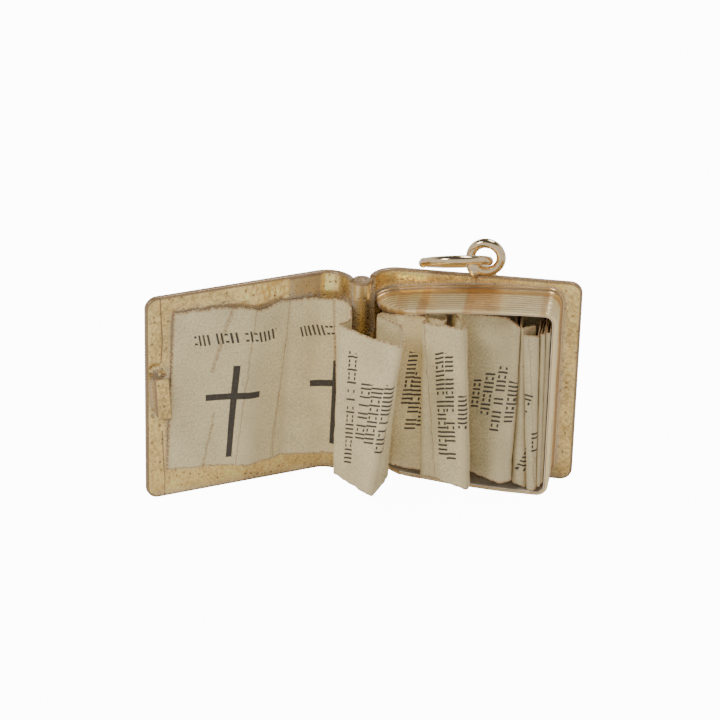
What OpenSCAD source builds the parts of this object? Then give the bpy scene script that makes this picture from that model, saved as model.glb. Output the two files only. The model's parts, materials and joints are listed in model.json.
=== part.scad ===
// Book-shaped charm that stands open: two gold covers on a spine hinge, a hollow
// page frame on the back cover, a paper concertina and two rings.
// Millimetres. X runs along the back cover, Y away from the viewer, Z up.

/* [Covers] */
// Height of both covers
cover_h = 16; // [15:0.5:18]
// Distance from the hinge axis to the fore edge of a cover
cover_reach = 15.75; // [15.5:0.25:17]
// Thickness of the cover sheet
cover_t = 0.45; // [0.4:0.05:0.5]
// Radius of the two fore-edge corners of a cover
corner_r = 0.9; // [0.5:0.1:1.4]
// Thickness of the closed book over both covers
book_t = 5.1; // [5.1:0.1:5.6]
// Angle between the covers as the book stands
open_angle = 147.7; // [140:0.1:152]

/* [Spine hinge] */
// Outer radius of the rounded shoulder beside the hinge
shoulder_r = 2; // [1.9:0.05:2.1]
// Outer diameter of the hinge tube
tube_d = 1.35; // [1.2:0.05:1.4]
// Diameter of the hinge pin
pin_d = 0.6; // [0.5:0.05:0.7]
// Radial clearance of the pin in the tube
pin_clear = 0.03; // [0.02:0.01:0.05]
// Height of each of the two end knuckles
knuckle_h = 4.2; // [2.5:0.1:5]
// Gap between two knuckles
knuckle_gap = 0.08; // [0.05:0.01:0.15]
// How far the tube stops short of the top and bottom edges
tube_short = 0.05; // [0:0.05:0.4]

// How far the front lip is cut back past the end of its knuckles
lip_relief = 1.3; // [0:0.1:2]

/* [Page frame] */
// Depth of the page frame in front of the back cover
frame_depth = 4.1; // [3.9:0.05:4.15]
// Height of the page frame at its fore edge
frame_h = 14.7; // [14.4:0.1:14.9]
// Wall thickness of the page frame
frame_wall = 0.34; // [0.3:0.02:0.4]
// Set-back of the frame from the fore edge of the cover
fore_inset = 1.45; // [1.3:0.05:1.6]
// Radius of the frame corners at the fore edge
frame_corner = 0.9; // [0.6:0.1:1.2]
// Radius of the crowned head and tail walls
crown_r = 82; // [70:1:120]
// Width of the bead round the foot of the frame
bead_w = 0.22; // [0.15:0.01:0.3]
// Number of engraved page lines on the walls
line_count = 7; // [5:1:8]
// Depth of an engraved page line
line_depth = 0.06; // [0.04:0.01:0.08]

/* [Catch] */
// Length of the catch tongue
catch_len = 3.5; // [2.5:0.1:4]
// Width of the catch tongue
catch_w = 0.98; // [0.7:0.02:1]
// Height of the middle of the tongue above the foot
catch_z = 8.4; // [7:0.1:9]

/* [Rings] */
// Outer diameter of the small soldered ring
bail_d = 2.9; // [2.8:0.05:3]
// Wire diameter of the small soldered ring
bail_wire = 0.7; // [0.6:0.05:0.75]
// Distance from the hinge axis to the small ring
bail_x = 8.65; // [7:0.05:11]
// Outer diameter of the jump ring
jump_d = 5.4; // [5.2:0.05:5.6]
// Wire diameter of the jump ring
jump_wire = 0.66; // [0.6:0.02:0.68]
// Tilt of the jump ring, near side up
jump_tilt = 27; // [15:1:30]

/* [Paper] */
// Thickness of the folded paper
leaf_t = 0.12; // [0.08:0.01:0.14]
// Points that round each fold
fold_steps = 4; // [2:1:6]

/* [Hidden] */
$fn = 48;
eps = 0.01;
gold = "#cdb27a";
pale_gold = "#d2c1a4";
cream = "#c2b8a0";

// Places that follow from the sizes above, with the hinge axis at x = 0, y = 0
cover_y = book_t / 2;
inner_y = cover_y - cover_t;
shoulder_x = shoulder_r + tube_d / 3;
shoulder_y = cover_y - shoulder_r;
lip_end_y = 0.1;
lip_cut_y = shoulder_y + 0.2;
rest_turn = 180 - open_angle;
tube_r = tube_d / 2;
tube_bottom = tube_short;
tube_top = cover_h - tube_short;
low_split = knuckle_h;
high_split = cover_h - knuckle_h;
bore_r = pin_d / 2 + pin_clear;
rim_y = inner_y - frame_depth;
frame_x = cover_reach - fore_inset;

// Small ring, sunk a little into the solder, and the drop of solder at its foot
solder_sink = 0.07;
foot_x = 0.75;
foot_h = 0.75;
foot_tip_r = 0.16;
foot_top_r = 0.34;
bail_r = (bail_d - bail_wire) / 2;
bail_y = cover_y - cover_t / 2;
bail_z = cover_h + bail_d / 2 - solder_sink;

// Jump ring: its right side hangs in the small ring, its left side rests on the top edge
hang_x = 0.2;
hang_z = 0.27;
rest_gap = 0.22;
jump_r = (jump_d - jump_wire) / 2;
jump_right_z = bail_z - hang_z;
jump_left_z = cover_h + jump_wire / 2 + rest_gap;
jump_slope = asin((jump_right_z - jump_left_z) / (2 * jump_r));
jump_x = bail_x + hang_x - jump_r * cos(jump_slope);
jump_z = (jump_right_z + jump_left_z) / 2;

// Folds of the paper on the front cover, from the fore edge to the hinge.
// Columns: along the cover and off its inner face at the top, height of the top,
// along and off at the bottom, height of the bottom, size of the round fold.
FOLD_R = 6;
COVER_FOLDS = [
    [13.70, 0.14, 14.50, 13.75, 0.18, 2.20, 0.3],
    [10.60, 0.30, 14.40, 10.60, 0.55, 2.10, 0.8],
    [ 7.70, 0.80, 14.30,  7.70, 1.45, 2.00, 0.4],
    [ 4.80, 0.22, 14.30,  5.60, 0.55, 2.00, 0.3],
    [ 2.90, 0.30, 14.20,  3.00, 1.30, 2.00, 0.5],
    [ 1.65, 1.00, 14.20,  1.60, 2.00, 2.00, 0.3],
];

// Folds of the paper that runs through the mouth of the page frame.
// Columns: x, y, z of the top edge, x, y, z of the bottom edge, size of the fold.
TRAY_FOLDS = [
    [-0.75, -0.60, 14.20, -0.55, -1.20, 2.00, 0.3],
    [-0.25, -3.00, 14.20, -0.55, -2.60, 2.00, 0.5],
    [-1.02, -4.21, 14.20, -1.28, -3.61, 1.95, 0.15],
    [ 1.60, -5.95, 14.20,  0.60, -5.60, 1.95, 1.0],
    [ 3.89, -6.91, 14.20,  1.96, -6.69, 1.95, 0.3],
    [ 3.75, -5.20, 14.20,  2.45, -5.00, 2.00, 0.6],
    [ 3.44, -3.70, 14.20,  2.70, -3.40, 2.00, 0.2],
    [ 1.45, -2.15, 14.20,  1.65, -2.10, 2.00, 0.1],
    [ 1.60, -1.70, 14.10,  1.90, -1.20, 2.00, 0.1],
    [ 4.50, -1.45, 14.20,  3.80, -2.00, 2.00, 0.8],
    [ 6.35, -2.05, 14.20,  5.60, -2.35, 2.00, 0.3],
    [ 6.30,  0.30, 14.20,  6.00,  0.30, 2.00, 0.3],
    [ 5.10,  0.30, 14.20,  5.00,  0.30, 2.00, 0.3],
    [ 4.74, -2.76, 14.20,  5.05, -2.90, 1.95, 0.2],
    [ 5.70, -2.72, 14.20,  6.10, -3.10, 1.95, 0.6],
    [ 7.83, -3.43, 14.20,  8.60, -4.37, 1.95, 0.3],
    [ 8.02, -2.90, 14.20,  8.75, -3.60, 1.95, 0.2],
    [ 7.84, -0.89, 14.20,  8.30, -1.30, 1.95, 0.4],
    [10.50, -0.80, 14.20, 10.40, -2.20, 1.95, 0.7],
    [11.45, -1.75, 14.20, 11.45, -2.30, 1.95, 0.2],
    [11.45,  1.20, 14.00, 11.45,  1.20, 1.95, 0.2],
];

// Folds of the stack that is still closed, against the fore-edge wall
STACK_FOLDS = [
    [11.75,  1.20, 13.60, 11.75,  1.20, 1.50, 0.2],
    [11.80, -2.10, 13.50, 11.80, -1.60, 1.40, 0.2],
    [12.90, -2.55, 13.50, 12.80, -2.30, 1.40, 0.25],
    [12.70,  1.20, 13.60, 12.60,  1.20, 1.50, 0.2],
    [13.15,  1.20, 13.60, 13.05,  1.20, 1.50, 0.2],
    [13.20, -2.35, 13.50, 13.20, -2.10, 1.40, 0.15],
    [13.65, -2.40, 13.50, 13.65, -2.00, 1.40, 0.15],
    [13.65,  1.20, 13.60, 13.65,  1.20, 1.50, 0.2],
];

// Middle of the part's box, which becomes the origin
left_x = -(cover_reach * cos(rest_turn) + cover_y * sin(rest_turn));
mid_x = (cover_reach + left_x) / 2;
back_y = bail_y + jump_r * cos(jump_tilt) + jump_wire / 2;
front_y = TRAY_FOLDS[4][1];
mid_y = (back_y + front_y) / 2;

module in_place() translate([-mid_x, -mid_y, 0]) children();

// Section of a bent cover sheet, seen from above: leaf, round shoulder and lip
module cover_plan() {
    translate([shoulder_x, inner_y]) square([cover_reach - shoulder_x, cover_t]);
    translate([shoulder_x, shoulder_y])
        intersection() {
            difference() {
                circle(shoulder_r);
                circle(shoulder_r - cover_t);
            }
            translate([-shoulder_r, 0]) square(shoulder_r);
        }
    translate([shoulder_x - shoulder_r, lip_end_y])
        square([cover_t, shoulder_y - lip_end_y]);
}

// Face of a cover, with two round corners at the fore edge
module cover_face() {
    square([cover_reach - corner_r, cover_h]);
    translate([0, corner_r]) square([cover_reach, cover_h - 2 * corner_r]);
    for (z = [corner_r, cover_h - corner_r])
        translate([cover_reach - corner_r, z]) circle(corner_r);
}

module bent_cover() {
    intersection() {
        linear_extrude(cover_h) cover_plan();
        rotate([90, 0, 0]) linear_extrude(2 * book_t, center = true) cover_face();
    }
}

// A stretch of the hinge tube, or of the room that it needs
module tube_part(z0, z1, r) translate([0, 0, z0]) cylinder(r = r, h = z1 - z0);

// Notch that clears the other cover's knuckle
module lip_notch(z0, z1)
    translate([0, -cover_y, z0]) cube([shoulder_x / 2, cover_y + lip_cut_y, z1 - z0]);

module pin_bore() translate([0, 0, -1]) cylinder(r = bore_r, h = cover_h + 2);

module torus(ring_r, wire_r) rotate_extrude() translate([ring_r, 0]) circle(wire_r, $fn = 24);

// Small ring soldered to the top edge, with the pointed foot of solder beside it
module bail() {
    translate([bail_x, bail_y, bail_z]) rotate([90, 0, 0]) torus(bail_r, bail_wire / 2);
    translate([bail_x - foot_x, cover_y - foot_top_r, cover_h - foot_h * 2 / 3])
        cylinder(r1 = foot_tip_r, r2 = foot_top_r, h = foot_h);
}

module back_cover() {
    color(gold) in_place() difference() {
        union() {
            difference() {
                bent_cover();
                lip_notch(-1, low_split + knuckle_gap);
                lip_notch(high_split - knuckle_gap, cover_h + 1);
            }
            tube_part(low_split + knuckle_gap, high_split - knuckle_gap, tube_r);
            bail();
        }
        pin_bore();
    }
}

// Catch: a tongue that lies off the cover on a low wall and snaps over the frame
module catch() {
    gap = 0.58;
    plate = 0.22;
    wall = 0.2;
    wall_cut = 0.55;
    frame_gap = 0.05;
    out_x = frame_x + frame_gap + catch_w;
    z0 = catch_z - catch_len / 2;
    round_r = catch_w * 0.4;
    translate([out_x - wall, inner_y - gap - plate, z0 + wall_cut])
        cube([wall, gap + plate + eps, catch_len - 2 * wall_cut]);
    translate([out_x - catch_w, inner_y - gap - plate, z0 + round_r])
        cube([catch_w, plate, catch_len - round_r]);
    translate([out_x - catch_w + round_r, inner_y - gap - plate, z0])
        cube([catch_w - 2 * round_r, plate, round_r + eps]);
    for (x = [round_r, catch_w - round_r])
        translate([out_x - x, inner_y - gap, z0 + round_r])
            rotate([90, 0, 0]) cylinder(r = round_r, h = plate);
}

module front_cover() {
    color(gold) in_place() rotate([0, 0, rest_turn]) mirror([1, 0, 0]) difference() {
        union() {
            difference() {
                bent_cover();
                lip_notch(low_split - lip_relief, high_split + lip_relief);
            }
            tube_part(tube_bottom, low_split, tube_r);
            tube_part(high_split, tube_top, tube_r);
            catch();
        }
        pin_bore();
    }
}

module hinge_pin() {
    color(pale_gold) in_place()
        translate([0, 0, tube_bottom]) cylinder(d = pin_d, h = tube_top - tube_bottom);
}

module jump_ring() {
    color(pale_gold) in_place() translate([jump_x, bail_y, jump_z])
        rotate([-jump_tilt, -jump_slope, 0]) torus(jump_r, jump_wire / 2);
}

// Half of the frame's height at x, for walls that stand proud by off
function half_h(x, off) = frame_h / 2 + off - pow(frame_x - x, 2) / (2 * crown_r);

// Upper half of the frame's outline from the spine end to the fore edge
function half_outline(off) = let (
        r = frame_corner + off,
        cx = frame_x - frame_corner,
        cz = frame_h / 2 - frame_corner)
    concat(
        [for (i = [0:6]) let (x = i / 6 * cx) [x, half_h(x, off)]],
        [for (a = [75:-15:0]) [cx + r * cos(a), cz + r * sin(a)]]);

function frame_outline(off) = let (up = half_outline(off), n = len(up))
    concat(
        [for (p = up) [p[0], cover_h / 2 + p[1]]],
        [for (i = [n - 1:-1:0]) [up[i][0], cover_h / 2 - up[i][1]]]);

// A flat layer of the frame, from y0 forwards
module frame_layer(y0, thick, off)
    translate([0, y0, 0]) rotate([90, 0, 0]) linear_extrude(thick)
        polygon(frame_outline(off));

// Footprint of the head and tail walls, round where they meet the spine. The nose
// leans back so that the closing cover clears it: columns are x and y of its edge.
NOSE = [[1.15, 1.15], [1.35, -0.40], [1.90, -1.10], [2.65, -1.60], [3.40, rim_y]];
module frame_plan() {
    fit_gap = 0.05;
    fit_r = shoulder_r - cover_t - fit_gap;
    nose_end = NOSE[len(NOSE) - 1][0];
    translate([nose_end, rim_y]) square([cover_reach, frame_depth]);
    intersection() {
        polygon(concat(NOSE, [[nose_end + eps, rim_y], [nose_end + eps, inner_y],
                              [NOSE[0][0], inner_y]]));
        union() {
            translate([shoulder_x, shoulder_y]) circle(fit_r);
            translate([shoulder_x, -shoulder_y]) circle(fit_r);
            translate([shoulder_x - fit_r, -shoulder_y]) square([fit_r, 2 * shoulder_y]);
            translate([shoulder_x, rim_y]) square([2, frame_depth]);
        }
    }
}

module page_frame() {
    bead_t = 0.3;
    cove_t = 0.35;
    rim_t = 0.34;
    rim_proud = 0.02;
    cut_t = 0.12;
    lines_t = frame_depth - bead_t - 2 * cove_t - rim_t;
    pitch = lines_t / line_count;
    color(gold) in_place() intersection() {
        difference() {
            union() {
                frame_layer(inner_y, frame_depth, -line_depth);
                frame_layer(inner_y, bead_t, bead_w);
                frame_layer(inner_y - bead_t, cove_t, bead_w / 3);
                frame_layer(inner_y - bead_t - cove_t, cove_t, 0);
                for (i = [0:line_count - 1])
                    frame_layer(rim_y + rim_t + lines_t - i * pitch - cut_t, pitch - cut_t, 0);
                frame_layer(rim_y + rim_t, rim_t, rim_proud);
            }
            frame_layer(inner_y + 1, frame_depth + 2, -frame_wall);
        }
        linear_extrude(cover_h) frame_plan();
    }
}

// Point of a strip's fold row at share h of the height, 0 at the foot
function row_point(row, h) = [
    row[3] + (row[0] - row[3]) * h,
    row[4] + (row[1] - row[4]) * h,
    row[5] + (row[2] - row[5]) * h];

function unit(v) = v / norm(v);

// Path along a strip at share h, each fold rounded by a quadratic curve
function strip_path(rows, h) = let (
        p = [for (r = rows) row_point(r, h)],
        n = len(p))
    concat(
        [p[0]],
        [for (i = [1:n - 2]) let (
                a = p[i - 1] - p[i],
                b = p[i + 1] - p[i],
                ra = min(rows[i][FOLD_R], norm(a) * 0.45),
                rb = min(rows[i][FOLD_R], norm(b) * 0.45),
                q0 = p[i] + unit(a) * ra,
                q1 = p[i] + unit(b) * rb)
            for (k = [0:fold_steps]) let (t = k / fold_steps)
                (1 - t) * (1 - t) * q0 + 2 * t * (1 - t) * p[i] + t * t * q1],
        [p[n - 1]]);

// Sideways direction at each point of a path, in plan
function path_normal(path, i) = let (
        n = len(path),
        d = path[min(i + 1, n - 1)] - path[max(i - 1, 0)])
    unit([-d[1], d[0], 0]);

// A folded strip of paper: four edges swept along the two paths
module strip(rows) {
    foot = strip_path(rows, 0);
    head = strip_path(rows, 1);
    n = len(foot);
    pts = [for (i = [0:n - 1]) let (
            f = path_normal(foot, i) * leaf_t / 2,
            h = path_normal(head, i) * leaf_t / 2)
        each [foot[i] - f, foot[i] + f, head[i] + h, head[i] - h]];
    sides = [for (i = [0:n - 2], k = [0:3]) let (
            a = 4 * i + k,
            b = 4 * i + (k + 1) % 4)
        each [[a, b, b + 4], [a, b + 4, a + 4]]];
    last = 4 * (n - 1);
    polyhedron(pts, concat(sides, [[3, 2, 1, 0]],
        [[last, last + 1, last + 2, last + 3]]), convexity = 20);
}

// A row of COVER_FOLDS turned from cover directions to x, y and z
function from_cover(row) = let (
        c = cos(rest_turn), s = sin(rest_turn),
        top_n = inner_y - row[1], foot_n = inner_y - row[4])
    [-row[0] * c - top_n * s, -row[0] * s + top_n * c, row[2],
     -row[3] * c - foot_n * s, -row[3] * s + foot_n * c, row[5], row[FOLD_R]];

module cover_leaves() {
    color(cream) in_place() strip([for (row = COVER_FOLDS) from_cover(row)]);
}

module tray_leaves() {
    color(cream) in_place() strip(TRAY_FOLDS);
}

module page_stack() {
    color(cream) in_place() strip(STACK_FOLDS);
}

back_cover();
page_frame();
front_cover();
hinge_pin();
jump_ring();
cover_leaves();
tray_leaves();
page_stack();
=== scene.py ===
import json
from math import cos, pi, radians, sin, sqrt

import bmesh
import bpy
import numpy as np
from bpy.props import FloatProperty, FloatVectorProperty, PointerProperty
from mathutils import Matrix, Vector


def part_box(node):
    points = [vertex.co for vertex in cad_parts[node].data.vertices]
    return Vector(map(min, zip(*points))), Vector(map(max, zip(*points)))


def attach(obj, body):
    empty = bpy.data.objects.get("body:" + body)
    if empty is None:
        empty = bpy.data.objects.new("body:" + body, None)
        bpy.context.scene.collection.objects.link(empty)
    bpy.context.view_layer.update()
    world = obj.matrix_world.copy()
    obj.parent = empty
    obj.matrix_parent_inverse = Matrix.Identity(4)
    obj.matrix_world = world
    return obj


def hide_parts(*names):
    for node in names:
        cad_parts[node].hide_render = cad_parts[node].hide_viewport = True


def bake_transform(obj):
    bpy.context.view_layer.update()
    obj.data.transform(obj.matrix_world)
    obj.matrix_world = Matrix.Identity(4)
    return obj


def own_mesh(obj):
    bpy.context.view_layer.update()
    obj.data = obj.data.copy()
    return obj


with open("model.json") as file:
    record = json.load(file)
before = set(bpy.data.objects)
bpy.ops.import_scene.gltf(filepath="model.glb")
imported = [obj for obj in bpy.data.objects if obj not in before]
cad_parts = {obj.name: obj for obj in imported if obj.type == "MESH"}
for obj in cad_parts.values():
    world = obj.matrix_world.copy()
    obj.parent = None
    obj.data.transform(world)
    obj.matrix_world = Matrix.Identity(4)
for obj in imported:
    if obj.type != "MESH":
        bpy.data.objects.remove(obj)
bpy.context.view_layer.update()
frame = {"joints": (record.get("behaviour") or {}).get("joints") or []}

bl_info = {
    "name": "Book charm",
    "version": (1, 0, 0),
    "blender": (4, 5, 0),
    "location": "3D View > Sidebar > Charm",
    "description": "Builds the covers, page frame, paper and rings of a small gold book charm",
    "category": "Object",
}

MM = 0.001

# Book directions: millimetres from the hinge axis, X along the back cover, Y away from
# the viewer, Z up. The front cover uses the same sizes, measured along itself.
HINGE = frame["joints"][0]["pos_m"]
COVER_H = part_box("front_cover")[1].z / MM
COVER_REACH = 15.75
COVER_T = 0.45
CORNER_R = 0.9
COVER_Y = 2.55
INNER_Y = COVER_Y - COVER_T
SHOULDER_R = 2.0
SHOULDER_X = 2.45
SHOULDER_Y = COVER_Y - SHOULDER_R
SHOULDER_MID_R = SHOULDER_R - COVER_T / 2
LEAF = COVER_REACH - SHOULDER_X
LIP_END_Y = 0.1
LIP_CUT_Y = SHOULDER_Y + 0.2
REST_TURN = radians(32.3)
TUBE_R = 0.675
BORE_R = 0.33
PIN_R = 0.30
TUBE_SHORT = 0.05
KNUCKLE_H = 4.2
KNUCKLE_GAP = 0.08
LIP_RELIEF = 1.3

# Page frame
FRAME_X = 14.3
FRAME_H = 14.7
FRAME_DEPTH = 4.1
FRAME_WALL = 0.34
FRAME_CORNER = 0.9
CROWN_R = 82.0
NOSE_X = [3.40, 2.65, 2.11, 1.87, 1.47, 1.15, 1.02, 1.02]
NOSE_Y = [INNER_Y - FRAME_DEPTH, -1.61, -1.29, -1.08, -0.65, 0.14, 0.70, INNER_Y]
NOSE_LEAN_END = 5.2
FRAME_CURVE_R = 1.5
BEAD = 0.38
COVE = 0.80
PAGE_PITCH = 0.365

# Shallow seat for the catch in the fore edge of the frame. Its ends are distances from the
# middle of the fore edge, downwards, and its sides are distances from the back cover.
SEAT_DEPTH = 0.27
SEAT_ABOVE = (1.95, 1.65)
SEAT_BELOW = (-2.35, -2.05)
SEAT_BACK = (3.15, 3.30)
SEAT_FRONT = (3.85, 3.72)

# Patches of painted reflection across the page frame, drawn in warm gold: where they start and end, and
# how strong they are
PAINTED_REFLECTION_PATCHES = [(2.6, 3.5, 0.6), (4.2, 4.9, 1.0), (7.5, 8.2, 1.0), (8.2, 10.1, 0.7), (13.0, 13.5, 0.8)]

# Painted highlights on the back cover's strip over the page frame: how much lighter its tone is drawn, by
# distance from the hinge
STRIP_X = [2.2, 2.6, 4.2, 4.8, 8.2, 8.7, 13.6]
STRIP_PAINTED_LIGHT = [0.8, 2.0, 1.7, 0.2, 0.2, 1.6, 1.3]

# Stretches of the top strip inside the front cover, by distance from the hinge: where each
# begins and where it ends. The first is drawn lighter as a painted highlight, the second
# darker, browner and rougher, and the third lighter as painted light.
PAINTED_HIGHLIGHT_STRETCH = (1.2, 1.6), (2.3, 2.2)
DULL_STRETCH = (2.2, 2.3), (4.8, 4.7)
PAINTED_LIGHT_STRETCH = (4.7, 4.8), (9.6, 9.0)

# Lines scribed inside the front cover: heights, and their distance from the fore edge
LINE_Z = [1.67, 2.18, 5.46, 10.10, 10.40, 10.93, 12.65, 14.20, 15.80]
LINE_ALONG = [1.38, 1.31, 1.21, 1.67, 1.48, 1.15, 1.28, 1.18, 1.11]

# Rings
BAIL_R = 1.1
BAIL_WIRE_R = 0.35
BAIL_AT = (8.65, 2.325, 17.38)
JUMP_R = 2.37
JUMP_WIRE_R = 0.33
JUMP_AT = (6.4966, 2.325, 16.83)
JUMP_TILT = radians(27)
JUMP_SLOPE = radians(6.785)
JUMP_OFFSET = 0.05
JUMP_JOINT = 0.012

# Catch of the front cover. The last two say where its tongue lies, for the brown drawn along its edges as
# painted contact shadow.
CATCH_T = 0.22
CATCH_RISE = 0.58
CATCH_LEAN = 0.0615
CATCH_ROOT_X = 15.22
CATCH_TIP_X = 14.21
CATCH_Z = (6.88, 10.10)
CATCH_BEND_R = 0.18
TONGUE_X = (14.20, 15.30)
TONGUE_Z = (6.7, 10.0)

# Level ellipses through the ear of the catch, in cover directions, and through the fillet
# and the foot of the soldered ring. Columns: x, y, z, half width in x and in y.
CATCH_EAR = [
    (14.64, INNER_Y - 0.20, 9.86, 0.18, 0.12),
    (14.66, INNER_Y - 0.34, 9.96, 0.27, 0.20),
    (14.67, INNER_Y - 0.40, 10.12, 0.31, 0.22),
    (14.69, INNER_Y - 0.34, 10.28, 0.26, 0.20),
    (14.70, INNER_Y - 0.16, 10.38, 0.16, 0.22),
]
BAIL_FILLET = [
    (9.0, 2.32, 15.85, 0.62, 0.17),
    (8.98, 2.32, 16.05, 0.55, 0.19),
    (8.95, 2.32, 16.2, 0.42, 0.19),
    (8.92, 2.32, 16.36, 0.26, 0.17),
]
BAIL_FOOT = [
    (8.00, 2.10, 15.44, 0.04, 0.06),
    (7.97, 2.10, 15.62, 0.13, 0.15),
    (7.92, 2.12, 15.85, 0.26, 0.22),
    (7.86, 2.15, 16.10, 0.37, 0.27),
    (7.79, 2.20, 16.40, 0.47, 0.30),
    (7.74, 2.26, 16.70, 0.52, 0.30),
    (7.74, 2.30, 16.88, 0.42, 0.26),
]

# Folds of the paper on the front cover, from the fore edge to the hinge. Columns: along
# the cover and off its inner face at the top, height of the top, the same at the foot,
# size of the round fold.
COVER_FOLDS = [
    (13.70, 0.14, 14.50, 14.28, 0.12, 2.20, 0.30),
    (10.60, 0.30, 14.40, 10.60, 0.55, 2.10, 0.80),
    (7.45, 0.50, 14.30, 8.15, 1.35, 1.97, 0.80),
    (4.80, 0.22, 14.30, 5.60, 0.55, 2.00, 0.30),
    (2.90, 0.30, 14.20, 3.00, 1.30, 2.00, 0.50),
    (1.65, 1.00, 14.20, 1.60, 2.00, 2.00, 0.30),
]

# Folds of the paper between the covers and of the first flap. Columns: x, y, z of the
# top edge, x, y, z of the foot, size of the round fold.
BRIDGE_FOLDS = [
    (-1.98, 0.05, 14.20, -1.41, -0.77, 2.00, 0.30),
    (-0.75, -0.60, 14.20, -0.55, -1.20, 2.00, 0.30),
    (-0.25, -3.00, 14.20, -0.55, -2.60, 2.00, 0.50),
    (-1.02, -4.21, 14.20, -1.28, -3.61, 1.95, 0.15),
    (1.60, -5.95, 14.20, 0.60, -5.60, 1.95, 1.00),
    (3.89, -6.91, 14.20, 1.96, -6.69, 1.95, 0.30),
    (3.75, -5.20, 14.20, 2.45, -5.00, 2.00, 0.60),
    (3.44, -3.70, 14.20, 2.70, -3.40, 2.00, 0.20),
    (1.45, -2.15, 14.20, 1.65, -2.10, 2.00, 0.10),
    (1.60, -1.70, 14.10, 1.90, -1.20, 2.00, 0.10),
    (4.50, -1.45, 14.20, 3.80, -2.00, 2.00, 0.80),
    (6.35, -2.05, 14.20, 5.60, -2.35, 2.00, 0.30),
]

# Folds of the wide flap and the panel behind it, in the mouth of the page frame
FLAP_FOLDS = [
    (6.35, -2.05, 14.20, 5.60, -2.35, 2.00, 0.30),
    (6.30, -0.95, 14.30, 6.00, -0.60, 2.00, 0.30),
    (5.10, -1.20, 14.25, 5.00, -0.90, 2.00, 0.30),
    (4.74, -2.76, 14.20, 5.05, -2.90, 1.95, 0.20),
    (5.70, -2.72, 14.20, 6.10, -3.10, 1.95, 0.60),
    (7.83, -3.43, 14.20, 8.60, -4.37, 1.95, 0.30),
    (8.02, -2.90, 14.20, 8.75, -3.60, 1.95, 0.20),
    (6.60, -0.60, 14.25, 7.10, -0.80, 1.95, 0.30),
    (10.60, -0.80, 14.20, 10.80, -2.85, 1.95, 0.90),
    (11.75, -1.90, 13.95, 11.60, -2.35, 1.95, 0.25),
    (11.30, -0.60, 13.90, 11.30, -0.60, 1.95, 0.30),
    (11.40, 1.20, 13.90, 11.40, 1.20, 1.95, 0.20),
]

# Folds of the stack that is still closed, against the fore-edge wall
STACK_FOLDS = [
    (12.90, 1.50, 14.20, 12.90, 1.50, 1.60, 0.20),
    (11.62, 1.50, 14.20, 11.60, 1.50, 1.60, 0.20),
    (11.70, -1.50, 14.05, 11.66, -1.90, 1.60, 0.20),
    (11.86, -1.84, 13.90, 12.52, -2.00, 1.35, 0.12),
    (12.78, -1.30, 14.00, 13.00, -1.50, 1.40, 0.20),
    (11.96, -2.20, 13.62, 12.82, -2.25, 1.20, 0.12),
    (13.06, -2.48, 13.70, 13.40, -2.34, 1.35, 0.22),
    (13.00, 0.60, 13.95, 13.10, 1.20, 1.50, 0.20),
    (13.22, 1.20, 13.60, 13.28, 1.20, 1.50, 0.06),
    (13.20, -2.16, 13.80, 13.48, -2.10, 1.45, 0.10),
    (13.48, -2.30, 13.92, 13.68, -2.12, 1.50, 0.14),
    (13.42, 1.20, 13.80, 13.46, 1.20, 1.50, 0.06),
    (13.56, 1.20, 13.80, 13.60, 1.20, 1.50, 0.06),
    (13.58, -2.06, 13.95, 13.74, -1.92, 1.60, 0.08),
    (13.84, -2.02, 13.90, 13.86, -1.80, 1.60, 0.12),
    (13.80, 1.20, 13.80, 13.80, 1.20, 1.60, 0.10),
]

# Print on each strip: bars of the plain crosses, and rows of plain strokes. Columns: along
# the strip and height where it starts, the same where it ends, height across the row, and
# 1 for a solid bar or 0 for a row of strokes.
COVER_PRINT = [
    (1.69, 12.23, 7.90, 11.95, 0.86, 0),
    (9.90, 11.69, 13.00, 11.80, 0.86, 0),
    (4.94, 9.94, 4.34, 2.73, 0.53, 1),
    (2.62, 7.64, 6.69, 7.50, 0.53, 1),
    (10.73, 7.55, 13.20, 7.66, 0.53, 1),
    (12.75, 9.40, 12.36, 2.77, 0.53, 1),
]
BRIDGE_PRINT = [
    (6.18, 3.47, 5.72, 12.53, 0.90, 0),
    (7.17, 5.87, 7.24, 10.59, 0.95, 0),
    (8.10, 5.82, 8.15, 10.63, 0.95, 0),
    (9.31, 5.44, 9.09, 10.95, 0.95, 0),
    (17.10, 7.04, 17.36, 11.27, 0.70, 0),
    (17.60, 5.09, 18.00, 9.98, 0.85, 0),
    (18.45, 5.50, 18.70, 7.90, 0.80, 0),
]
FLAP_PRINT = [
    (5.78, 4.01, 5.42, 12.13, 0.75, 0),
    (6.42, 3.87, 6.24, 12.11, 0.75, 0),
    (7.28, 6.53, 7.38, 9.14, 0.75, 0),
    (12.61, 7.02, 12.88, 9.41, 0.60, 0),
    (13.39, 6.67, 13.85, 10.03, 0.75, 0),
    (14.21, 5.61, 14.82, 10.65, 0.75, 0),
    (15.28, 6.13, 15.62, 9.74, 0.70, 0),
]
STACK_PRINT = [
    (4.78, 2.61, 7.01, 9.30, 0.60, 0),
    (7.37, 4.42, 7.36, 6.06, 0.60, 0),
]

# Creases pressed into each strip. Columns: along the strip and height where it starts, the
# same where it ends, and the width of the brown line drawn along it.
COVER_CREASES = [
    (6.30, 14.50, 5.00, 2.10, 0.12),
    (4.68, 14.40, 3.11, 9.60, 0.30),
    (8.95, 14.40, 8.11, 2.10, 0.14),
    (8.60, 9.00, 7.90, 2.10, 0.10),
    (3.30, 6.40, 2.40, 2.20, 0.22),
]
BRIDGE_CREASES = [(10.10, 14.30, 9.80, 1.90, 0.06)]
FLAP_CREASES = [
    (4.20, 14.30, 5.15, 1.90, 0.10),
    (11.60, 14.20, 11.80, 1.90, 0.06),
]
STACK_CREASES = [(6.90, 13.40, 7.40, 1.40, 0.08)]

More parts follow.
